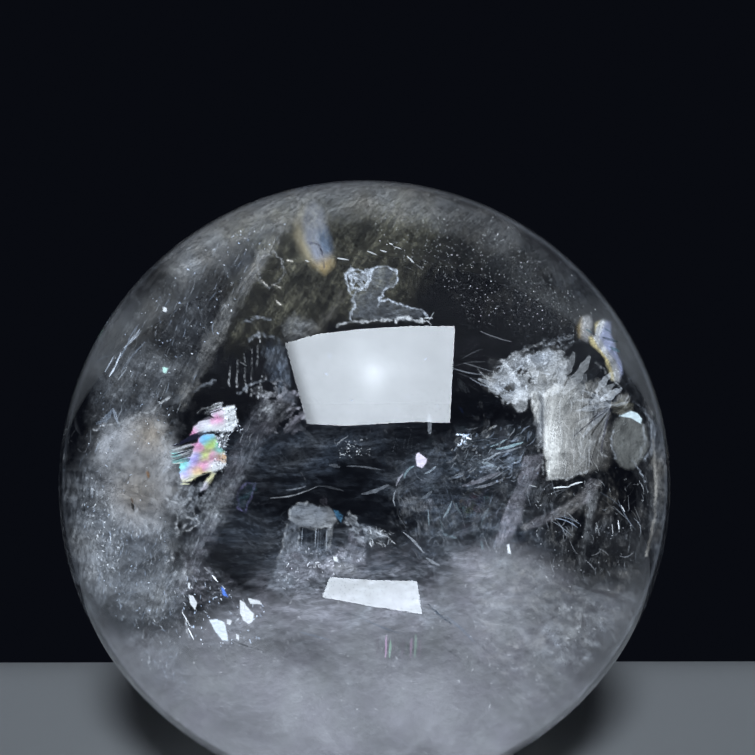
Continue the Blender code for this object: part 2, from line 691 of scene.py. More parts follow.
def add_blades(name, blades, seed, depth=(0.3, 0.6), level=None, strength=0.06, spread=0.6, tint=WHITE,
               second=None, blunt=0.5, stations=5, material=MIST):
    """Thin pointed flakes and needles, each given by its two end pixels, its width and its bow."""
    random = np.random.default_rng(seed)
    blades = np.array(blades, float)
    count = len(blades)
    points = blade_points(blades, random, depth, level, blunt, stations)
    strip = np.array([(k, k + 1, k + 3, k + 2) for k in range(0, 2 * stations - 2, 2)])
    faces = repeated(strip, count, 2 * stations)
    tints = np.repeat(blended(tint, second, random.random(count)), 2 * stations, axis=0)
    covers = np.clip(strength * random.uniform(1 - spread, 1 + spread, count), 0, 1)
    return add_flaw(name, points, faces, 4, np.repeat(covers, 2 * stations), tints, material, smooth=False)


def scattered(outline, count, seed):
    """Pixels at random inside the outline, away from the sphere's rim."""
    random = np.random.default_rng(seed)
    xs = [p[0] for p in outline]
    ys = [p[1] for p in outline]
    columns = np.zeros(0)
    rows = np.zeros(0)
    while len(columns) < count:
        try_x = random.uniform(min(xs), max(xs), count * 2)
        try_y = random.uniform(min(ys), max(ys), count * 2)
        good = (reach_inside(outline, try_x, try_y) > 0) & (from_middle(try_x, try_y) < SCATTER_LIMIT)
        columns = np.concatenate([columns, try_x[good]])
        rows = np.concatenate([rows, try_y[good]])
    return columns[:count], rows[:count]


def strew(name, outline, count, seed, angle=None, swing=12, length=(0.8, 3), width=(0.5, 1.3), bow=0.08,
          **look):
    """Blades at random inside an outline, most of them short, and near to an angle if one is given."""
    random = np.random.default_rng(seed + 1)
    columns, rows = scattered(outline, count, seed)
    turn = random.uniform(0, 360, count) if angle is None else angle + random.normal(0, swing, count)
    longs = length[0] + (length[1] - length[0]) * random.random(count) ** 2
    half_x = np.cos(np.radians(turn)) * longs / 2
    half_y = -np.sin(np.radians(turn)) * longs / 2
    ends = [columns - half_x, rows - half_y, columns + half_x, rows + half_y]
    blades = np.column_stack(ends + [random.uniform(*width, count), bow * longs * random.normal(size=count)])
    first_in = from_middle(blades[:, 0], blades[:, 1]) < BLADE_LIMIT
    last_in = from_middle(blades[:, 2], blades[:, 3]) < BLADE_LIMIT
    return add_blades(name, blades[first_in & last_in], seed + 1, **look)


# A puff has rings of points round its middle: how far out each lies, and how much it covers
PUFF_SIDES = 9
PUFF_RINGS = ((0.35, 0.85), (0.7, 0.4), (1.0, 0.0))
PUFF_TWIST = 0.3
PUFF_DISH = 0.25


def puff_faces():
    """The triangles of one puff: a fan round its middle, and two bands between its rings."""
    faces = []
    for side in range(PUFF_SIDES):
        after = (side + 1) % PUFF_SIDES
        faces.append((0, 1 + side, 1 + after))
        for ring in range(len(PUFF_RINGS) - 1):
            inner = 1 + ring * PUFF_SIDES
            outer = inner + PUFF_SIDES
            faces.append((inner + side, outer + side, outer + after))
            faces.append((inner + side, outer + after, inner + after))
    return np.array(faces)


def random_turns(count, random):
    """Pairs of unit directions at right angles to each other."""
    first = random.normal(size=(count, 3))
    first /= np.linalg.norm(first, axis=1, keepdims=True)
    second = np.cross(first, random.normal(size=(count, 3)))
    second /= np.linalg.norm(second, axis=1, keepdims=True)
    return first, second


def puff_points(middles, size, random):
    """The points of a dished disc round each middle, and how much each covers of its puff's strength."""
    count = len(middles)
    first, second = random_turns(count, random)
    normal = np.cross(first, second)
    radii = random.uniform(*size, count) * PIXEL
    stretch = random.uniform(0.35, 1.0, count)
    points = [middles]
    covers = [np.full(count, 1.0)]
    for ring, (share, cover) in enumerate(PUFF_RINGS):
        for side in range(PUFF_SIDES):
            turn = math.tau * side / PUFF_SIDES + PUFF_TWIST * ring
            out = radii * share * random.uniform(0.75, 1.25, count)
            place = middles + first * (out * math.cos(turn))[:, None]
            place += second * (out * stretch * math.sin(turn))[:, None]
            place += normal * (radii * PUFF_DISH * share**2)[:, None]
            points.append(place)
            covers.append(cover * random.uniform(0.6, 1.0, count))
    return np.stack(points, axis=1), np.stack(covers, axis=1)


def pull_inside(points):
    """Moves points that would poke out back under the stone's skin and above its flat."""
    away = points - np.array(CENTRE)
    length = np.linalg.norm(away, axis=1)
    scale = np.minimum(1.0, RADIUS * SKIN_LIMIT / np.maximum(length, TINY))
    points = np.array(CENTRE) + away * scale[:, None]
    points[:, 2] = np.maximum(points[:, 2], RADIUS * FLAT_GAP)
    return points


def add_puffs(name, outline, count, seed, depth=(0.15, 0.85), size=(3, 9), strength=0.018, tint=COOL,
              second=None):
    """A cloud of small soft curved discs that face all ways, so that it looks milky from every side."""
    random = np.random.default_rng(seed)
    columns, rows = scattered(outline, count, seed)
    middles = into_stone(columns, rows, random.uniform(*depth, count))
    points, shares = puff_points(middles, size, random)
    points_each = points.shape[1]
    tints = np.repeat(blended(tint, second, random.random(count)), points_each, axis=0)
    cover = shares * (strength * random.uniform(0.5, 1.5, count))[:, None]
    faces = repeated(puff_faces(), count, points_each)
    return add_flaw(name, pull_inside(points.reshape(-1, 3)), faces, 3, cover.ravel(), tints, MIST)


# Stage: table, lamps and darkness beyond

TABLE_DEPTH = 1.20
TABLE_WIDTH = 1.60
TABLE_DROP = 0.120
TABLE_COLOUR = (0.55, 0.56, 0.575, 1)
TABLE_ROUGHNESS = 0.7
TABLE_SHARP_EDGE = math.radians(30)
ROUNDED_EDGE = 0.080
EDGE_STEPS = 24
DARKNESS = (0.0027, 0.0033, 0.0055, 1)


def table_edge():
    """How far back the table reaches, so that its rounded edge crosses the picture at TABLE_EDGE_ROW."""
    way = sight_lines(np.array([PHOTO_MIDDLE]), np.array([float(TABLE_EDGE_ROW)]))[0]
    drop_angle = math.atan2(-way[2], way[1])
    # The sight line touches the rounded edge where the edge has turned by the sight line's own fall
    touch = Vector((ROUNDED_EDGE * math.sin(drop_angle), ROUNDED_EDGE * (math.cos(drop_angle) - 1)))
    reached = CAMERA_PLACE.y + (CAMERA_PLACE.z - touch.y) * way[1] / -way[2]
    return reached - touch.x


def table_mesh():
    """A thick top whose back edge is rounded, so that it rolls away."""
    flat_end = table_edge()
    section = [(flat_end - TABLE_DEPTH, 0.0), (flat_end, 0.0)]
    for number in range(1, EDGE_STEPS + 1):
        turn = math.pi / 2 * number / EDGE_STEPS
        section.append((flat_end + ROUNDED_EDGE * math.sin(turn), ROUNDED_EDGE * (math.cos(turn) - 1)))
    section.append((flat_end + ROUNDED_EDGE, -TABLE_DROP))
    section.append((flat_end - TABLE_DEPTH, -TABLE_DROP))
    count = len(section)
    half = TABLE_WIDTH / 2
    points = [(side * half, y, z) for side in (-1, 1) for y, z in section]
    faces = [(i, (i + 1) % count, count + (i + 1) % count, count + i) for i in range(count)]
    faces.append(tuple(range(count - 1, -1, -1)))
    faces.append(tuple(range(count, 2 * count)))
    data = bpy.data.meshes.new("table")
    data.from_pydata(points, [], faces)
    data.shade_smooth()
    data.set_sharp_from_angle(angle=TABLE_SHARP_EDGE)
    return data


def add_table():
    """A plain pale table top, which can shade the stone."""
    table = bpy.data.objects.new("table", table_mesh())
    bpy.context.scene.collection.objects.link(table)
    material, tree = new_material("pale_table")
    sockets = {"Base Color": TABLE_COLOUR, "Roughness": TABLE_ROUGHNESS}
    shader = node(tree, "ShaderNodeBsdfPrincipled", sockets)
    finish_material(tree, shader.outputs[0])
    table.data.materials.append(material)
    SHADERS.objects.link(table)


def add_world():
    """A dark studio beyond the table."""
    world = bpy.data.worlds.new("studio")
    bpy.context.scene.world = world
    world.use_nodes = True
    world.node_tree.nodes["Background"].inputs["Color"].default_value = DARKNESS


# The lamps that the polish mirrors, by the edges of their reflections in the photograph
KEY_TOP = ((285, 343), (318, 334), (360, 329), (408, 326), (455, 326))
KEY_BOTTOM = ((307, 424), (345, 426), (378, 424), (415, 422), (450, 423))
KEY_HOT_SPOT = (373, 373)
KEY_SPOT_REACH = 10
KEY_WIDE_REACH = 34
KEY_LEFT_EDGE = (283, 300)
KEY_LEFT_SLANT = 0.28
KEY_LEFT_ROW = 343
LOW_TOP = ((330, 577), (372, 580), (417, 581))
LOW_BOTTOM = ((322, 597), (370, 606), (422, 614))
LAMP_DISTANCE = 0.40
LAMP_COLOUR = (0.807, 0.90, 1.0)
KEY_STRENGTH = 17.0
LOW_STRENGTH = 15.0
FLOOR_GAP = 0.0015

# The pool of light on the table
POOL_LAMP_RADIUS = 0.16
POOL_SPREAD = math.radians(14)
POOL_SHIFT = Vector((0, 0.03, 0))
POOL_POWER = 68.0
POOL_WAY = {"azimuth": 180, "elevation": 38, "distance": 0.9}

# Soft lamps for the flaws: name, azimuth, elevation, distance, size and power
FILLS = (
    ("back_fill", 10, 45, 0.35, 0.3, 1.6),
    ("left_fill", -90, 35, 0.35, 0.25, 1.1),
    ("right_fill", 90, 35, 0.35, 0.25, 1.1),
)


def between_edges(top, bottom, across, down):
    """A grid of pixels between two edges, each given by points from left to right."""
    shares = np.linspace(0, 1, across)

    def edge(points):
        xs = [p[0] for p in points]
        ys = [p[1] for p in points]
        marks = np.linspace(0, 1, len(points))
        return np.interp(shares, marks, xs), np.interp(shares, marks, ys)

    top_x, top_y = edge(top)
    bottom_x, bottom_y = edge(bottom)
    drop = np.linspace(0, 1, down)[:, None]
    columns = top_x * (1 - drop) + bottom_x * drop
    rows = top_y * (1 - drop) + bottom_y * drop
    return columns, rows


def key_glow(columns, rows):
    """The key lamp's cloth is brightest before its bulb and dimmer at its left edge."""
    spot = blot(columns, rows, *KEY_HOT_SPOT, KEY_SPOT_REACH)
    wide = blot(columns, rows, *KEY_HOT_SPOT, KEY_WIDE_REACH)
    left = fade(columns - KEY_LEFT_SLANT * (rows - KEY_LEFT_ROW), *KEY_LEFT_EDGE)
    cloth = 0.08 * clouds(columns, rows, 30, 3, 3)
    return (0.84 + 0.16 * wide + 0.35 * spot + cloth) * (0.4 + 0.6 * left)


def even_glow(columns, rows):
    """The low lamp's cloth is even but for faint clouds."""
    return 1.0 + 0.08 * clouds(columns, rows, 20, 4, 3)


def add_lamp(name, top, bottom, strength, glow, across=49, down=33, distance=None):
    """A glowing cloth whose mirror image lies between these edges, this far off or else on the table."""
    grid_columns, grid_rows = between_edges(top, bottom, across, down)
    columns, rows = grid_columns.ravel(), grid_rows.ravel()
    points, ways = mirrored(columns, rows)
    lengths = (points[:, 2] - FLOOR_GAP) / -ways[:, 2] if distance is None else distance
    places = points + ways * np.broadcast_to(lengths, len(columns))[:, None]
    lamp = new_object(name, places, grid_faces(grid_columns.shape).reshape(-1, 4), 4)
    set_values(lamp, "glow", glow(columns, rows))
    material, tree = new_material(name)
    level = node(tree, "ShaderNodeAttribute", attribute_name="glow")
    light = maths(tree, "MULTIPLY", level.outputs["Fac"], strength)
    emission = node(tree, "ShaderNodeEmission", {"Color": (*LAMP_COLOUR, 1), "Strength": light})
    finish_material(tree, emission.outputs[0])
    lamp.data.materials.append(material)
    lamp.visible_camera = False
    lamp.visible_transmission = False
    lamp.visible_shadow = False
    link_to_stone(lamp)
    return lamp


def link_to_stone(lamp):
    """Aims a lamp at the stone and its flaws alone."""
    lamp.light_linking.receiver_collection = FLAWS
    lamp.light_linking.blocker_collection = SHADERS


def link_to_table(lamp):
    """Aims a lamp at the table alone, where the stone shades it."""
    lamp.light_linking.receiver_collection = SHADERS


def place_lamp(data, azimuth, elevation, distance, power, aim=CENTRE):
    """A lamp that looks at the stone's middle, or where it is aimed, and shows in no reflection."""
    data.energy = power
    data.color = LAMP_COLOUR
    lamp = bpy.data.objects.new(data.name, data)
    bpy.context.scene.collection.objects.link(lamp)
    turn = math.radians(azimuth)
    rise = math.radians(elevation)
    way = Vector((math.sin(turn) * math.cos(rise), math.cos(turn) * math.cos(rise), math.sin(rise)))
    lamp.location = aim + way * distance
    lamp.rotation_euler = way.to_track_quat("Z", "Y").to_euler()
    lamp.visible_camera = False
    lamp.visible_glossy = False
    lamp.visible_transmission = False
    return lamp


def add_fill(name, azimuth, elevation, distance, size, power):
    """A soft lamp for the flaws alone."""
    data = bpy.data.lights.new(name, "AREA")
    data.size = size
    link_to_stone(place_lamp(data, azimuth, elevation, distance, power))


def add_table_light():
    """A soft pool of light on the table round the stone, which shades it."""
    data = bpy.data.lights.new("table_light", "SPOT")
    data.shadow_soft_size = POOL_LAMP_RADIUS
    data.spot_size = POOL_SPREAD
    data.spot_blend = 1.0
    link_to_table(place_lamp(data, **POOL_WAY, power=POOL_POWER, aim=CENTRE + POOL_SHIFT))


def add_stage():
    """Camera, darkness, table and lamps."""
    add_camera()
    add_world()
    add_table()
    add_lamp("key_lamp", KEY_TOP, KEY_BOTTOM, KEY_STRENGTH, key_glow, distance=LAMP_DISTANCE)
    low = add_lamp("low_lamp", LOW_TOP, LOW_BOTTOM, LOW_STRENGTH, even_glow, across=7, down=5)
    low.visible_diffuse = False
    for fill in FILLS:
        add_fill(*fill)
    add_table_light()


# The stone's clear body

STONE_SIDES = 256
STONE_RINGS = 128
SHARP_EDGE = math.radians(8)

# Tiny dips in the polish: cells to a metre, width as a share of a cell, depth in metres, and strength
PIT_SCALE = 420.0
PIT_WIDTH = 0.09
PIT_DEPTH = 0.00002
PIT_STRENGTH = 0.05


def stone_mesh():
    """The sphere with its resting flat, far finer than the CAD solid so that it bends light smoothly."""
    mesh = bmesh.new()
    bmesh.ops.create_uvsphere(mesh, u_segments=STONE_SIDES, v_segments=STONE_RINGS, radius=RADIUS)
    bmesh.ops.translate(mesh, verts=mesh.verts, vec=CENTRE)
    parts = mesh.verts[:] + mesh.edges[:] + mesh.faces[:]
    cut = bmesh.ops.bisect_plane(mesh, geom=parts, plane_co=(0, 0, 0), plane_no=(0, 0, 1), clear_inner=True)
    rim = [e for e in cut["geom_cut"] if isinstance(e, bmesh.types.BMEdge)]
    bmesh.ops.contextual_create(mesh, geom=rim)
    bmesh.ops.recalc_face_normals(mesh, faces=mesh.faces)
    data = bpy.data.meshes.new("clear_stone")
    mesh.to_mesh(data)
    mesh.free()
    return data


def quartz_material():
    """Clear quartz with a high polish, marked by sparse tiny pits."""
    material, tree = new_material("clear_quartz")
    place = node(tree, "ShaderNodeTexCoord")
    spots = {"Vector": place.outputs["Object"], "Scale": PIT_SCALE, "Randomness": 1.0}
    pits = node(tree, "ShaderNodeTexVoronoi", spots)
    limits = {"From Min": 0.0, "From Max": PIT_WIDTH, "To Min": 0.0, "To Max": 1.0}
    dips = node(tree, "ShaderNodeMapRange", {"Value": pits.outputs["Distance"], **limits})
    relief = {"Strength": PIT_STRENGTH, "Distance": PIT_DEPTH, "Height": dips.outputs[0]}
    bump = node(tree, "ShaderNodeBump", relief)
    glass = {"Base Color": (1, 1, 1, 1), "Roughness": 0.0, "IOR": QUARTZ_IOR, "Transmission Weight": 1.0}
    shader = node(tree, "ShaderNodeBsdfPrincipled", {**glass, "Normal": bump.outputs[0]})
    finish_material(tree, shader.outputs[0])
    return material


def add_clear_stone():
    """The finer sphere that takes the place of the CAD solid."""
    stone = bpy.data.objects.new("clear_stone", stone_mesh())
    bpy.context.scene.collection.objects.link(stone)
    stone.data.materials.append(quartz_material())
    stone.data.shade_smooth()
    stone.data.set_sharp_from_angle(angle=SHARP_EDGE)
    FLAWS.objects.link(stone)
    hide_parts(STONE)
    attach(stone, BODY)
    return stone


# Milky haze and clouds


def arc_band(inner, outer, start, end, steps=12):
    """An outline between two circles about the picture's sphere, from one bearing to another in degrees."""
    turns = np.radians(np.linspace(start, end, steps))
    outline = []
    for share, turn in [(outer, turn) for turn in turns] + [(inner, turn) for turn in reversed(turns)]:
        across = OUTLINE_RADIUS * share * math.cos(turn)
        up = OUTLINE_RADIUS * share * math.sin(turn)
        outline.append((OUTLINE_CENTRE[0] + across, OUTLINE_CENTRE[1] - up))
    return outline


TOP_BAND = arc_band(0.88, 1.0, 58, 132)
RIGHT_BAND = arc_band(0.90, 1.0, -35, 62)
# Painted rim light: a thin milky band just inside the outline
RIM_LIGHT_BAND = arc_band(0.984, 1.01, -45, 225, steps=40)
LEFT_BAND = arc_band(0.85, 0.99, 122, 158)
LEFT_HAZE = [
    (80, 470), (94, 390), (126, 312), (176, 250), (245, 200), (290, 215), (270, 258), (246, 285),
    (212, 345), (186, 400), (176, 440), (165, 500), (170, 600), (150, 680), (95, 620),
]
RIDGE = [
    (284, 226), (274, 250), (254, 278), (234, 312), (216, 350), (196, 386), (180, 408), (178, 392),
    (196, 358), (212, 326), (236, 288), (252, 262), (270, 236),
]
TOP_HAZE = [
    (215, 225), (290, 200), (400, 196), (440, 214), (430, 256), (412, 296), (360, 312), (312, 326),
    (262, 335), (228, 345), (240, 300), (262, 262),
]
RIGHT_DUST = [
    (430, 208), (540, 238), (610, 305), (620, 345), (560, 335), (470, 318), (425, 300), (400, 250),
]
BEIGE_CLOUD = [
    (99, 440), (108, 428), (125, 421), (148, 412), (160, 420), (172, 446), (178, 478), (176, 508),
    (160, 530), (122, 524), (104, 505), (97, 475),
]
MIDDLE_LEFT_CLOUD = [
    (88, 436), (104, 380), (124, 352), (160, 352), (184, 374), (182, 404), (150, 408), (110, 424),
]
LOWER_LEFT_CLOUD = [
    (68, 530), (100, 515), (150, 520), (172, 540), (176, 590), (172, 640), (200, 720), (240, 770),
    (170, 740), (100, 640),
]
LEFT_RIM_CLOUD = [(66, 480), (90, 470), (112, 500), (120, 560), (100, 600), (78, 570)]
LEFT_INNER = [
    (166, 430), (178, 425), (176, 470), (198, 492), (236, 480), (220, 520), (194, 570), (174, 605),
    (160, 560),
]
GLINT_BED = [(172, 590), (196, 566), (214, 572), (236, 592), (262, 598), (268, 640), (220, 650), (176, 640)]
BOTTOM_CLOUD = [
    (96, 628), (140, 640), (180, 632), (240, 606), (330, 600), (436, 590), (462, 560), (502, 546),
    (546, 560), (580, 584), (640, 596), (610, 720), (480, 800), (300, 800), (170, 760), (110, 690),
]
BOTTOM_CRACKS = [
    (428, 604, 452, 624, 2.0, 1), (446, 616, 474, 642, 2.4, -1), (470, 634, 500, 662, 2.0, 1),
    (340, 612, 372, 622, 1.6, -1), (366, 620, 402, 634, 1.4, 1), (300, 632, 330, 640, 1.4, 0),
    (440, 644, 462, 660, 1.2, 0), (232, 640, 262, 650, 1.2, 1),
]
LOWER_RIGHT_CLOUD = [
    (470, 580), (500, 548), (540, 566), (572, 580), (610, 572), (646, 556), (640, 620), (590, 700),
    (520, 720), (480, 640),
]
RIGHT_LUMPS = [(545, 610), (580, 598), (606, 606), (622, 628), (600, 655), (560, 672), (540, 650)]
MIDDLE_BASE = [
    (240, 596), (290, 552), (400, 560), (480, 545), (520, 600), (430, 625), (300, 625), (200, 650),
]
CENTRE_CLEAR = [
    (200, 440), (300, 425), (420, 430), (520, 440), (540, 540), (420, 570), (280, 570), (200, 560),
]

# Between which columns the hazes and the top band grow thinner, and the painted rim light brighter
BOTTOM_LEFT_SIDE = (120, 215)
BOTTOM_RIGHT_SIDE = (470, 610)
TOP_THINS = (395, 465)
RIM_LIGHT_BRIGHTENS = (420, 560)

# The beige cloud's stains, each by column, row, reach and strength, and the two colours
STAINS = ((150, 434, 15, 1.0), (138, 492, 20, 0.8))
CLOUD_WHITE = (0.84, 0.85, 0.90)
STAIN_BROWN = (0.72, 0.62, 0.52)


def bottom_shade(columns, rows):
    """Thinner towards both sides, the right most of all."""
    return (1 - 0.72 * fade(columns, *BOTTOM_RIGHT_SIDE)) * (0.5 + 0.5 * fade(columns, *BOTTOM_LEFT_SIDE))


def top_shade(columns, rows):
    """Thinner towards the right."""
    return 1 - 0.55 * fade(columns, *TOP_THINS)


def rim_light_strength(columns, rows):
    """The painted rim light is brighter at the right."""
    return 1 + 1.3 * fade(columns, *RIM_LIGHT_BRIGHTENS)


def beige_tint(columns, rows):
    """White, stained brown in two soft patches."""
    stain = sum(strength * blot(columns, rows, *place) for *place, strength in STAINS)
    return blended(STAIN_BROWN, CLOUD_WHITE, np.clip(stain, 0, 1))


def add_upper_haze():
    """The pale bands, thin hazes and wisps in the upper part of the stone, and a painted rim light along its
    outline.
    """
    # Painted rim light: a thin milky film just inside the outline, brighter at the right
    add_film("painted_rim_light", RIM_LIGHT_BAND, 120, level=0.0, strength=0.026, angle=90, length=80, width=40, soft=2,
             ragged=0.5, sharpness=0.5, base=0.8, step=1.5, material=SILK, rough=0, speckle=0,
             shade_at=rim_light_strength)
    add_film("top_band", TOP_BAND, 121, level=0.0, strength=0.074, angle=30, length=50, width=9, ragged=4,
             sharpness=1.0, tint=WHITE, second=BEIGE, fine=1.5, speckle=0.1, shade_at=top_shade)
    add_film("right_band", RIGHT_BAND, 123, level=0.0, strength=0.011, angle=120, length=60, width=8,
             soft=14, ragged=4, sharpness=1.2, base=0.4, second=WHITE, patchy=0.3, speckle=0.1)
    add_film("left_band", LEFT_BAND, 129, level=0.0, strength=0.013, angle=58, length=50, width=5,
             sharpness=1.2, base=0.4, second=BEIGE, fine=1.5, speckle=0.15)
    add_film("top_haze", TOP_HAZE, 125, strength=0.031, angle=62, length=40, width=7, soft=24, base=0.3,
             tint=OLIVE, second=OLIVE, patchy=0.4, fine=1.4, speckle=0.3, step=2.2)
    add_film("right_dust", RIGHT_DUST, 127, depth=0.45, strength=0.0030, angle=70, length=14, width=8,
             soft=30, base=0.3, tint=OLIVE, second=BEIGE, patchy=0.5, speckle=0.15)


def add_left_haze():
    """The haze down the left side and its blots."""
    add_film("left_haze", LEFT_HAZE, 101, depth=0.55, strength=0.0115, length=44, sharpness=1.6, base=0.35,
             second=BEIGE, patchy=0.35, fine=1.4)
    add_film("left_haze_near", LEFT_HAZE, 111, depth=0.35, strength=0.0065, angle=64, soft=16,
             sharpness=2.5, wispy=True, patchy=0.6, fine=1.4, base=0.15)
    add_film("ridge", RIDGE, 113, depth=0.42, strength=0.055, length=40, width=3, soft=5, ragged=5, fray=12,
             sharpness=1.4, base=0.25, tint=BEIGE, second=WHITE, step=1.5, fine=1.4)
    add_film("beige_cloud", BEIGE_CLOUD, 131, strength=0.172, angle=78, length=90, width=22, soft=13,
             ragged=10, fray=16, sharpness=0.8, base=0.65, tint_at=beige_tint, material=SILK, rough=0.002,
             speckle=0.08, level=-0.05)
    add_film("middle_left_cloud", MIDDLE_LEFT_CLOUD, 173, level=-0.05, strength=0.040, angle=62, width=5,
             ragged=10, sharpness=1.3, base=0.35, tint=WHITE, second=COOL, patchy=0.4, fine=1.4)
    add_film("left_rim_cloud", LEFT_RIM_CLOUD, 171, strength=0.095, angle=82, length=16, width=3,
             sharpness=1.8, base=0.35, tint=WHITE, second=COOL, step=1.6, level=-0.05)
    add_film("left_inner", LEFT_INNER, 105, strength=0.072, angle=65, length=24, width=5, soft=7, ragged=10,
             fray=12, base=0.25, second=WHITE, step=1.6, patchy=0.4, mosaic=0.4, cell=(10, 4), holes=0.15,
             speckle=0.3)
    add_film("lower_left_cloud", LOWER_LEFT_CLOUD, 141, depth=0.45, strength=0.104, angle=75, width=8,
             soft=20, sharpness=0.9, base=0.75, second=WHITE, step=2, patchy=0.1, rough=0.003, fine=1.6,
             speckle=0.1)
    add_film("glint_bed", GLINT_BED, 143, strength=0.055, angle=10, length=20, width=5, soft=9, ragged=6,
             sharpness=1.2, base=0.3, tint=LILAC, second=COOL, mosaic=0.4, cell=(7, 4), speckle=0.4)
    strew("left_needles", LEFT_HAZE, 420, 711, angle=60, swing=10, length=(2, 16), depth=(0.2, 0.75),
          second=BLUISH)


# The bottom cloud's films, by name, seed and level, and the turns and shifts of the veils that cross them
BOTTOM_FILMS = (("bottom_cloud", 151, 0.0), ("bottom_cloud_near", 152, -0.2), ("bottom_cloud_far", 153, 0.2))
BOTTOM_VEILS = ((42, -0.32), (-38, 0.30), (50, 0.28), (-46, -0.36))

# The row of coloured bars in the bottom cloud, pink and green in turn
BAR_COUNT = 11
BAR_LEFT = 377
BAR_FOOT = 658
BAR_HEAD = 634
BAR_PITCH = 4.2
BAR_WIDTH = 2.4
BAR_TINTS = (("pink", (0.98, 0.50, 0.85)), ("green", (0.50, 0.95, 0.60)))
CRACK_GREY = (0.07, 0.09, 0.12)


def bottom_bars():
    """Short upright bars side by side, with uneven heads."""
    bars = []
    for number in range(BAR_COUNT):
        column = BAR_LEFT + BAR_PITCH * number
        bars.append((column, BAR_FOOT, column + 1, BAR_HEAD + number * 5 % 9, BAR_WIDTH, 0))
    return bars


def add_lower_clouds():
    """The clouds low in the stone."""
    for name, seed, level in BOTTOM_FILMS:
        add_film(name, BOTTOM_CLOUD, seed, level=level, strength=0.044, angle=5, length=90, width=30,
                 soft=18, sharpness=0.8, base=0.93, tint=WHITE, second=LILAC, step=2, rough=0.002,
                 material=SILK, speckle=0.06, shade_at=bottom_shade)
    for number, (turn, shift) in enumerate(BOTTOM_VEILS):
        add_cross_film(f"bottom_veil_{number + 1}", 741 + 10 * number, turn, shift, 0.050)
    add_film("bottom_grain", BOTTOM_CLOUD, 155, depth=0.55, strength=0.016, angle=10, soft=18,
             sharpness=1.2, base=0.3, second=WHITE, patchy=0.3, rough=0.003, fine=1.6)
    add_film("lower_right_cloud", LOWER_RIGHT_CLOUD, 161, strength=0.036, angle=100, length=18, width=7,
             soft=14, ragged=12, sharpness=1.3, tint=WHITE, second=BEIGE, patchy=0.25, rough=0.01,
             mosaic=0.3, cell=(8, 5), holes=0.05, speckle=0.12, fine=1.5)
    add_film("right_lumps", RIGHT_LUMPS, 163, depth=0.4, angle=100, length=14, width=9, soft=7, ragged=7,
             fray=10, sharpness=1.2, base=0.3, tint=WHITE, second=COOL, step=1.6, patchy=0.3, mosaic=0.4,
             cell=(7, 5), holes=0.12, speckle=0.3)
    add_film("middle_base", MIDDLE_BASE, 181, depth=0.55, strength=0.082, angle=8, length=40, soft=16,
             sharpness=1.0, second=LILAC, fine=1, speckle=0.15)
    add_film("centre_haze", CENTRE_CLEAR, 185, depth=0.7, strength=0.023, angle=3, length=80, soft=30,
             sharpness=1.8, base=0.3, tint=BLUISH, second=COOL, bend=0.05, fine=1.4, step=2.2)
    strew("bottom_grains", BOTTOM_CLOUD, 1300, 731, length=(0.6, 4), depth=(0.2, 0.7), strength=0.12,
          stations=3)
    strew("lower_left_grains", LOWER_LEFT_CLOUD, 800, 721, angle=70, swing=30, length=(0.6, 6),
          depth=(0.2, 0.7), strength=0.14, second=BLUISH, stations=3)
    for first, (name, tint) in enumerate(BAR_TINTS):
        bars = bottom_bars()[first::2]
        add_blades(f"bottom_bars_{name}", bars, 733, depth=(0.22, 0.24), strength=0.09, tint=tint)
    add_blades("bottom_cracks", BOTTOM_CRACKS, 735, depth=(0.22, 0.24), strength=0.38, tint=CRACK_GREY,
               stations=9, material=LEAF)


def add_puff_clouds():
    """Clouds of small discs that face all ways, so that the haze shows from every side."""
    add_puffs("left_puffs", LEFT_HAZE, 240, 201, strength=0.014, second=WHITE)
    add_puffs("lower_left_puffs", LOWER_LEFT_CLOUD, 220, 211, size=(4, 11))
    add_puffs("bottom_puffs", BOTTOM_CLOUD, 300, 221, depth=(0.1, 0.9), size=(4, 11), second=WHITE)
    add_puffs("lower_right_puffs", LOWER_RIGHT_CLOUD, 180, 231, depth=(0.2, 0.8), strength=0.030,
              second=WHITE)
    add_puffs("beige_puffs", BEIGE_CLOUD, 60, 241, depth=(0.25, 0.65), size=(5, 10), strength=0.045,
              tint=BEIGE, second=WHITE)


# Small details of the left side

BLUE_STREAKS = [
    (109, 377, 121, 352, 2, 1), (116, 362, 130, 338, 2, 1), (124, 348, 140, 329, 2.5, 1),
    (121, 373, 134, 355, 2.5, -1), (130, 358, 145, 342, 2, 0), (112, 378, 118, 364, 1.6, 0),
    (105, 372, 114, 356, 1.2, 0), (128, 340, 137, 326, 1.2, 0), (134, 340, 142, 330, 1.6, 0),
    (118, 380, 127, 368, 1.2, 0), (112, 366, 124, 346, 1.0, 1), (96, 424, 112, 410, 6, 2),
    (106, 424, 119, 416, 5, -1), (113, 408, 118, 424, 3, 0),
]
LAMP_SIDE = [(264, 348), (276, 342), (284, 350), (290, 380), (296, 404), (282, 396), (270, 376)]
LAMP_SIDE_LOW = [(256, 388), (272, 378), (296, 396), (306, 420), (296, 432), (276, 436), (262, 416)]
LAMP_CORNER = [(284, 324), (296, 316), (312, 320), (318, 330), (298, 338), (286, 338)]
LAMP_STREAK = [(314, 331), (322, 318), (340, 292), (346, 290), (334, 314), (322, 332)]
DOTTED_LINES = [
    [(230, 366), (229, 386)], [(238, 360), (237, 388)], [(244, 354), (246, 392)], [(252, 350), (251, 396)],
    [(258, 344), (257, 368)], [(262, 376), (258, 398)], [(258, 330), (260, 342)],
]
UPPER_WISPS = [
    [(244, 323), (256, 317), (270, 320)], [(238, 392), (250, 384), (262, 380)],
    [(248, 340), (262, 334), (274, 336)], [(190, 392), (204, 386), (214, 382)],
]
RING = [
    [
        (257, 270), (259, 260), (266, 253), (276, 253), (283, 261), (284, 273), (279, 283), (268, 287),
        (260, 281), (257, 270),
    ],
]
RING_FOOT = [
    [(262, 281), (268, 286)], [(273, 285), (280, 287)], [(277, 301), (281, 304)], [(287, 260), (291, 261)],
]
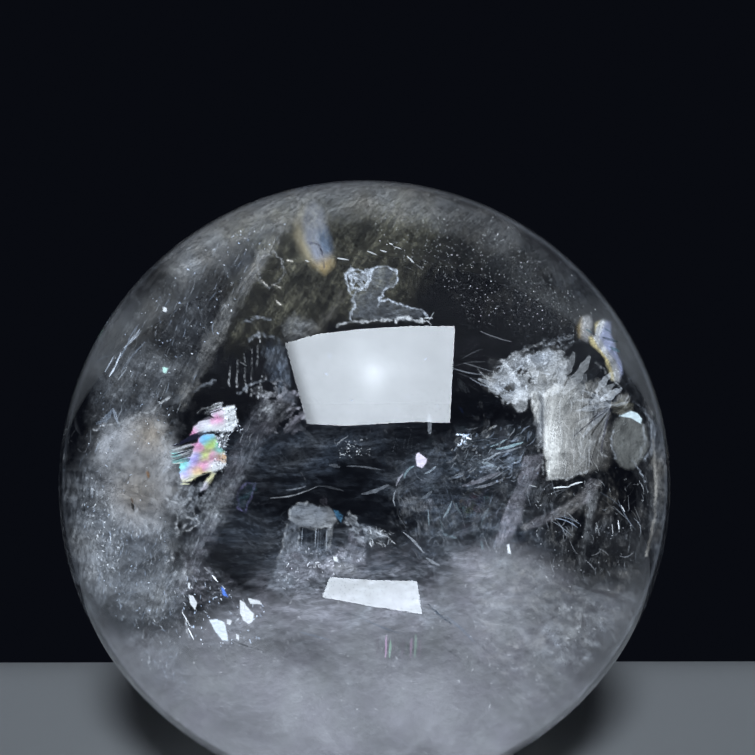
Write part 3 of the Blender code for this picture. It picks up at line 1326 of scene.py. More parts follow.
CLOUD_EDGES = [
    [(95, 430), (108, 424), (128, 420), (148, 412), (160, 406), (170, 396)],
    [(153, 414), (157, 428), (165, 444), (167, 458)],
    [(167, 498), (172, 510), (178, 516), (176, 534), (166, 552)], [(168, 500), (180, 504), (190, 500)],
    [(180, 506), (188, 518), (198, 522), (190, 532), (180, 530)], [(182, 512), (194, 510), (196, 520)],
    [(186, 522), (176, 540), (172, 560)], [(110, 504), (118, 518), (123, 532)],
    [(168, 560), (162, 580), (168, 600)], [(174, 590), (182, 612), (190, 640)],
    [(138, 512), (146, 528), (146, 544)],
]
DARK_BROWN = (0.10, 0.05, 0.02)
BROWN_SPOTS = [(147, 471, 149, 478, 3.2, 0), (132, 503, 134, 511, 3.0, 0), (131, 497, 133, 503, 1.5, 0)]


def add_left_details():
    """The small marks at the left, and the streaks and ring near the lamp's image."""
    add_blades("blue_streaks", BLUE_STREAKS, 191, level=-0.1, depth=(0.45, 0.5), strength=0.17, tint=BLUISH,
               second=WHITE, material=LEAF, stations=9)
    add_film("lamp_side_haze", LAMP_SIDE, 195, strength=0.05, angle=80, soft=5, ragged=6, fray=9,
             sharpness=1.2, base=0.3, tint=BLUISH, second=COOL, step=1.4, speckle=0.3)
    add_film("lamp_side_wisps", LAMP_SIDE_LOW, 197, strength=0.075, angle=50, length=14, width=7, soft=3,
             fray=9, sharpness=1.4, base=0.15, tint=WHITE, second=LILAC, step=1.4, patchy=0.5, mosaic=0.5,
             cell=(8, 5), holes=0.2)
    add_film("lamp_corner_mist", LAMP_CORNER, 198, depth=0.45, strength=0.055, angle=30, length=20, width=8,
             soft=5, ragged=4, fray=9, base=0.4, tint=BEIGE, second=WHITE, step=1.6)
    add_film("lamp_streak", LAMP_STREAK, 194, depth=0.45, strength=0.022, angle=55, width=5, soft=5,
             ragged=4, fray=9, base=0.4, tint=BEIGE, step=1.6)
    add_trace("dotted_lines", DOTTED_LINES, 199, depth=0.45, width=1.0, wobble=1, grit=2.5, broken=1)
    add_trace("upper_wisps", UPPER_WISPS, 196, depth=0.45, width=3, strength=0.07, tint=COOL, grit=5.0)
    add_trace("ring", RING, 189, depth=0.45, width=1.6, strength=0.06, grit=3)
    add_trace("ring_foot", RING_FOOT, 188, depth=0.45, width=1.5, strength=0.28, wobble=1, grit=3,
              tint=BEIGE)
    add_trace("cloud_edges", CLOUD_EDGES, 186, depth=0.36, strength=0.16)
    add_blades("brown_spots", BROWN_SPOTS, 187, depth=(0.2, 0.22), strength=0.75, spread=0.1,
               tint=DARK_BROWN)


# The bright fracture at the right, and the lens beside it

FRACTURE = [
    (481, 379), (490, 372), (500, 364), (516, 357), (536, 354), (548, 350), (563, 352), (568, 372),
    (562, 392), (545, 398), (538, 393), (530, 396), (516, 404), (503, 402), (490, 391),
]
FRACTURE_RIGHT = [
    (564, 376), (578, 384), (592, 380), (604, 384), (618, 392), (630, 400), (626, 406), (612, 404),
    (608, 420), (606, 446), (596, 470), (566, 478), (563, 440), (560, 392),
]
FRACTURE_FRINGE = [
    (498, 362), (516, 352), (541, 342), (567, 334), (578, 338), (566, 348), (540, 356), (512, 366),
]
COLUMN = [
    (544, 394), (556, 384), (572, 388), (588, 400), (592, 440), (588, 468), (570, 477), (548, 480),
    (544, 450),
]
COLUMN_NECK = [(530, 394), (537, 391), (540, 406), (539, 422), (535, 421)]
COLUMN_SIDE = [(535, 392), (546, 392), (546, 450), (538, 448), (536, 424)]
LOBE = [(519, 388), (525, 390), (528, 400), (525, 410), (518, 413), (513, 406), (514, 394)]
CURTAIN = [(566, 410), (586, 420), (608, 424), (616, 446), (604, 468), (568, 474)]
LEAVES = [
    (563, 394, 590, 356, 10, 2), (574, 398, 600, 364, 10, -2), (582, 402, 608, 375, 9, 1),
    (557, 388, 574, 352, 9, 1), (590, 404, 614, 384, 8, 0), (570, 404, 586, 374, 8, 2),
    (548, 384, 556, 352, 8, -1), (536, 384, 528, 358, 7, 1), (520, 386, 503, 362, 7, 0),
    (526, 392, 494, 376, 8, 1), (508, 392, 478, 379, 5, 0), (520, 398, 488, 388, 8, -1),
    (600, 400, 622, 388, 8, 1), (596, 392, 612, 372, 7, 0),
]
HUB = (611, 405)
HUB_RAYS = [
    (582, 390, 5), (577, 400, 6), (576, 411, 6), (578, 424, 7), (583, 437, 6), (590, 448, 6), (598, 446, 4),
    (604, 430, 3), (620, 394, 4), (628, 402, 4), (600, 384, 4),
]
HUB_CRACKS = [
    (590, 420, 1.6), (574, 436, 1.5), (582, 450, 2.0), (592, 458, 2.2), (601, 452, 2.4), (572, 424, 1.0),
]
FRACTURE_LINES = [
    [(500, 361), (520, 352), (541, 343)], [(596, 362), (606, 372), (618, 386)],
    [(478, 368), (486, 380), (500, 392), (512, 396)], [(533, 396), (536, 412), (543, 436), (544, 474)],
    [(513, 393), (519, 388), (526, 391), (528, 402), (524, 411), (517, 413)],
    [(548, 478), (556, 480), (566, 478), (580, 474), (590, 470)], [(577, 430), (590, 442), (606, 458)],
    [(606, 430), (592, 446), (578, 462)],
]
WHISKERS = [
    (452, 368, 484, 375, 1.6, 1), (455, 366, 490, 362, 1.4, -2), (458, 373, 488, 381, 1.5, 1),
    (454, 322, 484, 333, 1.3, -1), (480, 331, 512, 342, 1.3, 1), (462, 359, 482, 349, 1.2, -1),
    (464, 363, 494, 372, 1.3, 0), (470, 378, 492, 388, 1.5, 1), (468, 384, 480, 392, 1.2, 0),
]
LENS = [
    (617, 419), (628, 414), (640, 419), (647, 430), (648, 446), (642, 460), (632, 469), (620, 466),
    (613, 452), (611, 434),
]
RIGHT_EDGE = [
    (646, 400), (660, 424), (668, 470), (664, 530), (654, 560), (650, 520), (652, 470), (650, 430),
]
LENS_TOP = [(613, 404), (622, 400), (632, 404), (633, 412), (622, 415), (614, 412)]
LENS_EDGES = [
    [(634, 402), (644, 408), (650, 418), (655, 432), (655, 446), (650, 458)],
    [(638, 404), (647, 414), (652, 430), (652, 446), (646, 460)], [(613, 430), (611, 444), (616, 458)],
    [(642, 424), (645, 440), (639, 458)], [(632, 462), (640, 470), (645, 480)],
]
LENS_GLINT = [(619, 416), (631, 411), (637, 413), (642, 419), (641, 424), (631, 418)]
RIM_LINE = [[(653, 440), (655, 461), (656, 490), (655, 515), (650, 540), (646, 556)]]

# The bright core of the column: its middle column, its reach, and between which rows it brightens
COLUMN_CORE = 551
CORE_REACH = 11
CORE_BRIGHTENS = (410, 440)

# Where the right part of the fracture thins
FRACTURE_THINS_RIGHT = (580, 596)
FRACTURE_THINS_DOWN = (400, 414)

BLACK = (0.02, 0.02, 0.03)
LENS_GREY = (0.64, 0.64, 0.60)
GLINT_AQUA = (0.80, 0.93, 0.97)


def column_shade(columns, rows):
    """Brightest low down at the column's left, from where it fades rightwards."""
    core = np.exp(-(((columns - COLUMN_CORE) / CORE_REACH) ** 2))
    return 0.16 + 0.9 * (core * (0.45 + 0.65 * fade(rows, *CORE_BRIGHTENS)))


def fracture_right_shade(columns, rows):
    """Thinner low down at the right, behind the hub."""
    return 1 - 0.5 * fade(columns, *FRACTURE_THINS_RIGHT) * fade(rows, *FRACTURE_THINS_DOWN)


def add_fracture_films():
    """The bright fracture's sheets, with its column, lobe and curtain."""
    add_film("fracture", FRACTURE, 301, depth=0.42, strength=0.120, angle=35, length=14, width=8, soft=1.2,
             ragged=4, fray=6, sharpness=0.8, base=0.75, tint=CREAM, second=COOL, step=1.2, rough=0.003,
             mosaic=0.22, cell=(9, 6), holes=0.05, material=SILK)
    add_film("fracture_right", FRACTURE_RIGHT, 305, depth=0.44, strength=0.060, length=20, width=6,
             soft=2.5, ragged=5, fray=7, sharpness=0.9, base=0.75, tint=CREAM, second=BEIGE, step=1.2,
             rough=0.003, mosaic=0.2, cell=(14, 5), holes=0.12, material=SILK,
             shade_at=fracture_right_shade)
    add_film("fracture_fringe", FRACTURE_FRINGE, 307, depth=0.42, strength=0.05, angle=20, length=10,
             width=5, soft=2, ragged=4, fray=6, sharpness=1.4, base=0.1, tint=WHITE, second=COOL, step=1.1,
             mosaic=0.6, cell=(5, 4), holes=0.35, speckle=0.4)
    add_film("fracture_deep", FRACTURE, 311, depth=0.58, strength=0.035, angle=55, length=18, width=9,
             soft=6, sharpness=1.3, base=0.2, tint=WHITE, second=BEIGE)
    add_film("column", COLUMN, 321, depth=0.38, strength=0.37, angle=80, length=34, width=6, soft=1.4,
             ragged=1.6, fray=8, sharpness=1.0, base=0.65, tint=CREAM, step=1.1, shade_at=column_shade,
             material=SILK, rough=0.002, speckle=0.10)
    add_film("column_neck", COLUMN_NECK, 325, depth=0.38, strength=0.17, angle=80, width=3, soft=1.5,
             ragged=1.5, fray=6, sharpness=0.8, base=0.8, tint=CREAM, step=1)
    add_film("column_side", COLUMN_SIDE, 327, depth=0.39, strength=0.085, angle=84, soft=2, ragged=3,
             fray=7, sharpness=1.0, tint=CREAM, second=COOL, step=1.1, material=SILK, rough=0.002)
    add_film("lobe", LOBE, 331, depth=0.36, strength=0.14, angle=80, length=20, width=6, soft=1.2, ragged=1,
             base=0.8, tint=WHITE, step=1.1, material=SILK, speckle=0.08)
    add_film("curtain", CURTAIN, 335, depth=0.46, strength=0.036, angle=84, length=70, width=7, soft=6,
             ragged=4, fray=10, sharpness=0.8, base=0.8, tint=BEIGE, second=WHITE, step=1.5, material=SILK,
             rough=0.002)


def add_fracture_blades():
    """The fracture's leaves, rays, chips, lines and cracks."""
    add_blades("leaves", LEAVES, 341, depth=(0.39, 0.43), strength=0.10, spread=0.3, second=COOL,
               stations=9, material=LEAF)
    rays = [(HUB[0], HUB[1], x, y, width, 1.0) for x, y, width in HUB_RAYS]
    add_blades("hub_rays", rays, 343, depth=(0.38, 0.42), strength=0.05, spread=0.5, second=COOL,
               stations=7, blunt=0.8, material=LEAF)
    strew("fracture_chips", FRACTURE, 200, 345, angle=35, swing=50, length=(1.5, 9), width=(0.7, 2.6),
          depth=(0.34, 0.5), strength=0.09, second=COOL, material=CHIP)
    strew("curtain_chips", FRACTURE_RIGHT, 240, 347, angle=75, swing=30, length=(1.5, 12), width=(0.6, 1.8),
          depth=(0.36, 0.5), second=BEIGE, material=CHIP)
    strew("column_lines", COLUMN, 90, 349, angle=84, swing=4, length=(8, 34), bow=0.02, depth=(0.35, 0.37))
    add_trace("fracture_lines", FRACTURE_LINES, 351, width=1.8, strength=0.11)
    cracks = [(HUB[0], HUB[1] + 3, x, y, width, 1.0) for x, y, width in HUB_CRACKS]
    add_blades("hub_cracks", cracks, 353, depth=(0.33, 0.34), strength=0.5, spread=0.3, tint=BLACK)
    add_blades("whiskers", WHISKERS, 361, depth=(0.39, 0.41), strength=0.07, spread=0.3, tint=COOL,
               second=WHITE)


def add_lens():
    """The lens right of the fracture, and the line along the stone's rim."""
    add_film("right_edge", RIGHT_EDGE, 379, level=0.0, strength=0.05, angle=84, length=24, width=5, soft=3,
             ragged=4, fray=10, sharpness=1.3, base=0.45, tint=BEIGE, second=COOL, step=1.4, patchy=0.4)
    add_film("lens", LENS, 371, level=-0.1, angle=80, length=18, width=9, soft=2.6, ragged=1.5, fray=7,
             sharpness=0.8, base=0.7, tint=LENS_GREY, step=1.3, material=SILK, rough=0, speckle=0.12)
    add_film("lens_top", LENS_TOP, 373, level=-0.1, strength=0.09, angle=30, length=9, width=5, soft=2,
             ragged=2, fray=5, tint=BEIGE, second=OLIVE, step=1.2, rough=0)
    add_trace("lens_edges", LENS_EDGES, 381, level=-0.12, wobble=2.5, tint=COOL)
    add_film("lens_glint", LENS_GLINT, 385, level=-0.2, strength=0.55, angle=20, soft=0.8, ragged=0.3,
             sharpness=0.5, base=0.95, step=0.7, bend=0, rough=0, tint=GLINT_AQUA, material=SILK, speckle=0,
             width=6)
    add_trace("rim_line", RIM_LINE, 391, level=0.0, width=2.4, strength=0.15, tint=BEIGE, wobble=0.6,
              broken=0.2, grit=5.0)


# Veils: the diagonal band, the feathers and the lace

DIAGONAL_BAND = [
    (262, 396), (276, 408), (266, 440), (240, 484), (216, 530), (196, 578), (176, 606), (172, 588),
    (190, 548), (206, 510), (226, 470), (244, 430),
]
FEATHERS = [
    (398, 470), (440, 440), (490, 425), (530, 430), (540, 470), (530, 520), (500, 570), (440, 575),
    (400, 545), (392, 500),
]
FEATHERS_HIGH = [(446, 446), (470, 428), (520, 424), (541, 440), (540, 474), (500, 486), (455, 478)]
FEATHERS_LOW = [(395, 485), (430, 468), (470, 480), (512, 490), (505, 545), (450, 572), (405, 550)]
FROST_PATCH = [(480, 462), (494, 452), (514, 454), (522, 464), (508, 474), (488, 474)]
BARRED_PATCH = [(400, 500), (412, 496), (432, 500), (436, 508), (418, 512), (402, 510)]
RIGHT_CAVES = [(530, 490), (600, 480), (650, 475), (656, 540), (620, 575), (560, 575), (510, 560)]
WEDGE = [
    (525, 457), (543, 455), (540, 471), (527, 496), (520, 524), (510, 540), (495, 546), (500, 526),
    (509, 503), (518, 484),
]
WEDGE_EDGE = [[(525, 457), (518, 484), (509, 503), (500, 526), (495, 544)]]
SMOKE = [
    (519, 527), (545, 514), (565, 505), (580, 492), (590, 478), (601, 482), (592, 499), (573, 513),
    (550, 521), (525, 532),
]
TALL_STREAK = [
    (587, 490), (598, 490), (596, 510), (589, 532), (583, 568), (576, 588), (573, 584), (579, 556),
    (586, 524),
]
SMOKE_LINES = [
    (553, 515, 575, 520, 1.2, -2), (555, 518, 578, 528, 1.3, -2), (552, 521, 572, 536, 1.2, -1),
    (560, 516, 580, 524, 1.0, -1), (540, 520, 560, 514, 1.2, 1), (600, 492, 622, 508, 1.2, -1),
    (618, 500, 632, 526, 1.2, 1), (622, 510, 636, 530, 1.0, 1), (604, 500, 618, 512, 1.0, 0),
]
LACE = [
    [(352, 297), (355, 304), (351, 312), (350, 320)],
    [(352, 297), (357, 292), (367, 289), (369, 281), (372, 270)],
    [
        (349, 270), (360, 270), (367, 273), (369, 281), (365, 286), (356, 290), (351, 284), (349, 276),
        (349, 270),
    ],
    [(372, 270), (380, 267), (390, 267), (396, 270), (398, 278), (393, 287), (384, 290), (380, 300)],
    [(380, 300), (391, 300), (402, 305), (414, 308), (425, 311), (428, 318)],
    [(349, 270), (345, 276), (348, 288), (352, 297)], [(380, 300), (377, 306)],
    [(352, 290), (356, 280), (349, 276)],
]
LACE_FOOT = [
    [(337, 325), (345, 323), (358, 323)], [(362, 322), (376, 320), (390, 320)],
    [(396, 321), (408, 318), (416, 321), (424, 319)],
]
LACE_PLANE = [
    (352, 297), (367, 290), (370, 280), (374, 269), (386, 267), (397, 272), (397, 280), (391, 288),
    (382, 291), (378, 302), (392, 302), (414, 309), (426, 313), (420, 321), (391, 320), (350, 318),
]
LACE_FROST = [(348, 268), (362, 268), (372, 268), (370, 286), (356, 292), (350, 286)]
DASHES = [
    (367, 251, 377, 255, 1.5, 0), (380, 250, 387, 252, 1.4, 0), (393, 246, 402, 249, 1.0, 0),
    (407, 256, 414, 263, 1.8, 0), (416, 264, 423, 270, 1.2, 0), (404, 266, 413, 270, 1.2, 0),
    (337, 258, 349, 260, 1.7, 0), (389, 243, 393, 245, 1.0, 0), (305, 260, 309, 262, 1.6, 0),
    (428, 322, 434, 312, 1.0, 0), (424, 318, 433, 318, 1.0, 0), (426, 320, 432, 325, 1.0, 0),
]
CENTRE_STREAKS = [
    (321, 488, 362, 501, 2.6, -2), (318, 486, 344, 491, 2.2, -1), (361, 494, 389, 485, 4.0, 1),
    (346, 466, 382, 470, 1.8, -1), (329, 465, 340, 467, 4.0, 0), (300, 424, 313, 438, 4.0, 1),
    (380, 558, 408, 527, 2.4, 1), (403, 532, 424, 553, 2.4, -1), (396, 490, 395, 506, 1.4, 2),
    (395, 506, 402, 526, 1.4, 2), (270, 498, 318, 486, 1.6, 3), (286, 490, 306, 486, 2.0, 1),
    (426, 558, 440, 566, 3.0, 0), (433, 562, 436, 586, 1.6, 0), (437, 563, 440, 580, 1.2, 0),
    (429, 414, 430, 434, 5.0, 0), (336, 444, 348, 436, 1.6, 0), (330, 432, 340, 426, 1.8, 0),
]
FEATHER_STRANDS = [
    (490, 447, 507, 439, 2.2, 0.5), (496, 449, 523, 442, 3.0, 1), (501, 453, 521, 447, 1.8, 0),
    (483, 460, 500, 452, 2.6, 1), (482, 462, 497, 467, 4.0, 0), (492, 457, 509, 464, 5.0, 1),
    (448, 479, 464, 472, 4.0, 1), (462, 486, 500, 472, 5.0, 1.5), (474, 488, 503, 479, 3.0, 1),
    (488, 492, 510, 484, 2.2, 1), (500, 466, 520, 458, 1.8, 0), (458, 494, 477, 525, 2.8, 4),
    (452, 501, 443, 518, 2.4, -1), (456, 503, 462, 515, 2.0, 1), (420, 499, 432, 491, 3.0, 1),
    (432, 490, 447, 483, 2.4, -2), (443, 533, 457, 538, 3.0, 1), (428, 510, 429, 526, 1.6, 0),
    (481, 541, 483, 550, 3.0, 0), (476, 490, 489, 497, 2.4, 1), (414, 466, 404, 478, 2.6, 2),
    (403, 474, 396, 486, 2.0, 1), (424, 474, 436, 466, 2.2, 1), (462, 452, 472, 444, 2.2, 0),
    (440, 516, 446, 540, 1.6, 1), (466, 512, 470, 534, 1.8, -1), (489, 508, 481, 526, 1.8, 1),
    (455, 470, 480, 462, 2.6, 1),
]
FEATHER_STAR = [(457, 434), (468, 434), (470, 444), (458, 446)]
CENTRE_CRUMBS = [(334, 440), (368, 438), (372, 456), (340, 458)]
STRAND_TEAL = (0.50, 0.72, 0.78)
MIST_TEAL = (0.45, 0.62, 0.70)


def add_diagonal_band():
    """The band that slants down at the lower left."""
    add_film("diagonal_band", DIAGONAL_BAND, 401, depth=0.45, strength=0.035, angle=62, length=60, width=6,
             soft=6, ragged=7, fray=10, sharpness=0.9, base=0.55, tint=LILAC, second=COOL, step=1.4,
             patchy=0.35, fine=1, speckle=0.12)
    strew("band_fibres", DIAGONAL_BAND, 120, 403, angle=62, swing=9, length=(3, 16), depth=(0.38, 0.5),
          strength=0.028, second=COOL)


def add_feathers():
    """The feathers below the fracture, with the frost beside them."""
    add_film("feather_mist", FEATHERS, 425, depth=0.6, strength=0.009, angle=40, length=20, width=8,
             soft=16, ragged=14, base=0.1, tint=MIST_TEAL, second=LILAC, patchy=0.8, speckle=0.3, step=2.2)
    add_film("feathers", FEATHERS, 411, strength=0.014, angle=32, length=50, width=12, ragged=14,
             sharpness=4, base=0.0, wispy=True, second=BLUISH, step=1.5, patchy=0.8)
    add_film("feathers_across", FEATHERS, 421, depth=0.35, strength=0.014, angle=105, length=44, width=12,
             ragged=14, sharpness=4, base=0.0, wispy=True, second=WHITE, step=1.5, patchy=0.8)
    strew("feathers_high", FEATHERS_HIGH, 220, 413, angle=30, swing=26, length=(2, 14), width=(0.6, 2.4),
          bow=0.1, depth=(0.35, 0.55), tint=CREAM, second=BLUISH)
    strew("feathers_low", FEATHERS_LOW, 200, 415, angle=40, swing=34, length=(2, 12), width=(0.6, 2.0),
          bow=0.12, depth=(0.35, 0.55), strength=0.018, tint=COOL, second=BLUISH)
    strew("feathers_upright", FEATHERS_LOW, 110, 417, angle=105, swing=14, length=(3, 18), bow=0.12,
          depth=(0.35, 0.55), strength=0.030, tint=COOL, second=WHITE)
    add_blades("feather_strands", FEATHER_STRANDS, 419, depth=(0.4, 0.44), strength=0.11, spread=0.4,
               tint=LILAC, second=STRAND_TEAL, stations=9, material=LEAF)
    add_film("frost_patch", FROST_PATCH, 423, depth=0.42, strength=0.06, angle=25, length=14, soft=4,
             ragged=6, fray=7, sharpness=1.3, base=0.1, tint=BLUISH, second=WHITE, step=1.2, mosaic=0.5,
             cell=(7, 3), holes=0.2)
    add_film("barred_patch", BARRED_PATCH, 427, depth=0.42, strength=0.05, angle=88, length=14, width=2,
             soft=2, ragged=3, fray=6, sharpness=1.4, base=0.1, tint=LILAC, second=WHITE, step=1.1)
    strew("feather_star", FEATHER_STAR, 40, 428, length=(1.5, 6), width=(1, 2.2), depth=(0.4, 0.45),
          strength=0.35, second=BLUISH)


def add_right_veils():
    """The caves, the wedge and the smoky bands at the right."""
    add_film("cave_veils", RIGHT_CAVES, 431, strength=0.022, angle=80, length=50, width=9, ragged=12,
             sharpness=2.5, base=0.1, wispy=True, second=BEIGE, step=1.6, patchy=0.8)
    strew("cave_fibres", RIGHT_CAVES, 150, 433, angle=80, swing=28, length=(2, 20), width=(0.5, 1.2),
          bow=0.12, strength=0.065, second=COOL)
    strew("cave_dots", RIGHT_CAVES, 110, 435, length=(0.8, 2.4), width=(0.6, 1.2), strength=0.18,
          stations=3)
    add_film("wedge", WEDGE, 441, depth=0.42, strength=0.075, angle=74, length=70, width=9, soft=1.4,
             ragged=1.2, base=0.6, tint=LILAC, step=1.4, bend=0.03, speckle=0.08)
    add_trace("wedge_edge", WEDGE_EDGE, 442, depth=0.42, width=1.5, strength=0.09, wobble=1, tint=LILAC,
              grit=5.0)
    add_film("smoke", SMOKE, 443, depth=0.42, strength=0.065, angle=40, length=60, width=6, soft=1.4,
             ragged=1.5, tint=LILAC, second=BEIGE, step=1.4, bend=0.03, speckle=0.08)
    add_film("tall_streak", TALL_STREAK, 451, depth=0.42, strength=0.075, angle=78, length=40, soft=1.5,
             ragged=2, fray=10, tint=WHITE, step=1.4, bend=0.03, speckle=0.1)
    add_blades("smoke_lines", SMOKE_LINES, 453, depth=(0.4, 0.42), strength=0.10, tint=BLUISH, second=WHITE)


def add_lace():
    """The lace of fine lines above the lamp's image."""
    add_trace("lace", LACE, 461, depth=0.35, strength=0.23, broken=0.5, tint=COOL)
    add_trace("lace_foot", LACE_FOOT, 463, depth=0.35, width=2.8, strength=0.19, grit=5, broken=0.6)
    add_film("lace_plane", LACE_PLANE, 471, depth=0.36, strength=0.038, angle=5, width=10, soft=1.5,
             ragged=1.5, fray=6, base=0.7, step=1.3, speckle=0.15)
    add_film("lace_frost", LACE_FROST, 473, depth=0.34, strength=0.12, angle=5, length=10, width=6,
             soft=1.2, ragged=3, fray=5, step=1, mosaic=0.4, cell=(7, 7), holes=0.45)


def add_centre_marks():
    """The streaks, dashes and crumbs in the middle of the stone."""
    add_blades("centre_streaks", CENTRE_STREAKS, 485, depth=(0.42, 0.5), strength=0.085, spread=0.3,
               tint=COOL, second=WHITE, stations=7, material=LEAF)
    add_blades("dashes", DASHES, 481, depth=(0.34, 0.36), strength=0.30, spread=0.4)
    strew("centre_crumbs", CENTRE_CRUMBS, 70, 487, width=(0.6, 1.4), depth=(0.4, 0.5), strength=0.20,
          stations=3)


# Slivers of trapped air that show the colours of thin films

FLAME = [
    (304, 206), (314, 202), (322, 208), (325, 222), (328, 235), (333, 252), (333, 266), (324, 272),
    (314, 267), (303, 254), (295, 236), (296, 220),
]
FLAME_CRACK = [[(317, 244), (321, 250), (323, 257), (324, 268)], [(307, 242), (312, 243), (317, 244)]]
FLAME_LOBE = [(581, 317), (589, 316), (592, 322), (590, 335), (587, 341), (579, 337), (577, 328)]
FLAME_TAIL = [
    (595, 324), (603, 319), (611, 322), (611, 336), (616, 350), (621, 362), (622, 374), (619, 382),
    (612, 380), (609, 370), (605, 359), (598, 351), (592, 344), (589, 337), (596, 336),
]
FLAME_SHADE = [
    (602, 337, 618, 342, 3.0, 0), (608, 346, 620, 352, 3.0, 0), (586, 329, 592, 333, 2.2, 0),
    (604, 328, 612, 333, 2.0, 0),
]
RAINBOW_BRIM = [
    [(197, 413), (202, 409), (211, 407), (216, 404), (222, 403), (221, 406), (212, 409), (205, 413)],
    [(208, 414), (218, 410), (226, 408), (234, 407)],
]
RAINBOW_TOP = [
    (191, 435), (194, 427), (202, 420), (213, 417), (210, 412), (220, 408), (234, 406), (236, 414),
    (238, 422), (233, 431), (222, 431), (210, 431), (202, 433),
]
RAINBOW_LOWER = [
    (198, 440), (202, 435), (214, 434), (217, 440), (218, 447), (224, 450), (226, 458), (226, 466),
    (214, 472), (203, 473), (192, 480), (182, 483), (180, 474), (180, 463), (189, 462), (193, 452),
]
RAINBOW_SIDE = [(171, 450), (186, 445), (200, 442), (196, 452), (190, 463), (172, 464)]
RAINBOW_TAIL = [(200, 490), (206, 480), (213, 472), (216, 473), (211, 482), (205, 490)]
RAINBOW_FROST = [(216, 432), (226, 430), (227, 444), (220, 452), (214, 450)]
RAINBOW_FAINT = [(238, 494), (246, 482), (256, 484), (250, 500), (246, 512), (238, 508)]
RAINBOW_CRUMBS = [
    (222, 408), (236, 408), (238, 424), (246, 431), (232, 432), (226, 444), (228, 470), (212, 474),
    (210, 462), (220, 450), (214, 436), (224, 428),
]
RAINBOW_RIM = [(182, 482, 206, 474, 1.6, -1), (180, 484, 190, 484, 1.2, 0), (172, 464, 184, 462, 1.0, 0)]
RAINBOW_SLITS = [
    (180, 443, 208, 432, 5.5, -1), (208, 414, 222, 409, 1.6, 0), (198, 421, 214, 417, 2.0, 0),
    (172, 446, 184, 443, 2.0, 0), (172, 456, 190, 450, 1.3, 0), (172, 461, 186, 457, 1.0, 0),
]

# Soft patches of pure tint in the sliver: column, row, colour
SKY, LIME, PINK = (0.16, 0.58, 0.95), (0.70, 0.95, 0.22), (0.98, 0.42, 0.68)
VIOLET, AQUA, PEACH, LEMON = (0.52, 0.46, 0.95), (0.32, 0.90, 0.84), (0.98, 0.62, 0.36), (0.97, 0.92, 0.55)
MILK = (0.90, 0.84, 0.95)
RAINBOW_PATCHES = [
    (207, 438, SKY), (211, 445, LIME), (200, 448, PINK), (204, 456, LIME), (196, 457, VIOLET),
    (204, 463, PINK), (191, 465, VIOLET), (183, 465, AQUA), (195, 470, PEACH), (186, 475, VIOLET),
    (194, 479, LEMON), (213, 456, PINK), (219, 449, AQUA), (221, 457, PEACH), (213, 466, WHITE),
    (222, 468, WHITE), (190, 451, WHITE), (218, 419, PINK), (197, 427, MILK), (203, 421, MILK),
    (206, 429, WHITE), (226, 412, WHITE), (228, 425, WHITE), (192, 433, PINK), (212, 411, MILK),
    (216, 428, WHITE), (199, 411, MILK), (206, 485, MILK), (210, 478, LEMON), (187, 481, LEMON),
]
PATCH_REACH = 3.6
LEAST_SHARE = 1e-6
SLIT_BLACK = (0.01, 0.01, 0.02)
GRIT_BLACK = (0.03, 0.03, 0.05)

# The middle lines of the two flames, by rows and columns, and their colours
FLAME_AXIS = ((200, 220, 240, 255, 270), (311, 308, 311, 318, 325))
RIGHT_FLAME_AXIS = ((320, 337, 346, 354, 360, 371, 384), (597, 590, 595, 601, 606, 610, 612))
FLAME_GREY, FLAME_AMBER, FLAME_BLUE = (0.66, 0.70, 0.86), (0.85, 0.72, 0.48), (0.34, 0.46, 0.68)
FLAME_ORANGE, FLAME_DARK = (0.95, 0.70, 0.34), (0.02, 0.05, 0.06)
TAIL_WHITE, TAIL_YELLOW, TAIL_LAVENDER = (0.84, 0.84, 0.86), (0.95, 0.80, 0.42), (0.50, 0.54, 0.78)
LOBE_GREY, LOBE_BROWN = (0.82, 0.80, 0.80), (0.55, 0.42, 0.22)

# The lobe's left edge, and between which rows the flame's top thickens, its blue sets in and its foot begins
LOBE_LEFT = 583
FLAME_TOP = (208, 238)
FLAME_BLUE_TOP = (222, 238)
FLAME_FOOT = (254, 268)


def rainbow_tint(columns, rows):
    """Pastel patches that melt into each other, as the layer of air in the sliver changes thickness."""
    warp = 3 * clouds(columns, rows, 9, 21, 2)
    total = np.full(len(columns), LEAST_SHARE)
    mixed = np.zeros((len(columns), 3))
    for column, row, tint in RAINBOW_PATCHES:
        share = blot(columns + warp, rows - warp, column, row, PATCH_REACH)
        total += share
        mixed += share[:, None] * np.array(tint)
    return mixed / total[:, None]


def flame_tint(columns, rows):
    """Amber at its left edge and foot, grey lilac within, blue at the right."""
    across = columns - np.interp(rows, *FLAME_AXIS)
    foot = fade(rows + 0.4 * across, *FLAME_FOOT)
    blue = fade(across, 4, 11) * fade(rows, *FLAME_BLUE_TOP) * (1 - foot)
    tints = blended(FLAME_AMBER, FLAME_GREY, fade(-across, 1, 11))
    tints = blended(FLAME_BLUE, tints, blue)
    return blended(FLAME_ORANGE, tints, foot)


def flame_shade(columns, rows):
    """Thinner at its top."""
    return 0.45 + 0.55 * fade(rows, *FLAME_TOP)


def right_flame_tint(columns, rows):
    """A thin yellow edge at the left, white within, lavender at the right."""
    across = columns - np.interp(rows, *RIGHT_FLAME_AXIS)
    tints = blended(TAIL_YELLOW, TAIL_WHITE, fade(-across, -4.5, -1))
    return blended(TAIL_LAVENDER, tints, fade(across, 7, 12))


def lobe_tint(columns, rows):
    """Grey, and brown at its left."""
    return blended(LOBE_BROWN, LOBE_GREY, fade(LOBE_LEFT - columns, -2, 5))


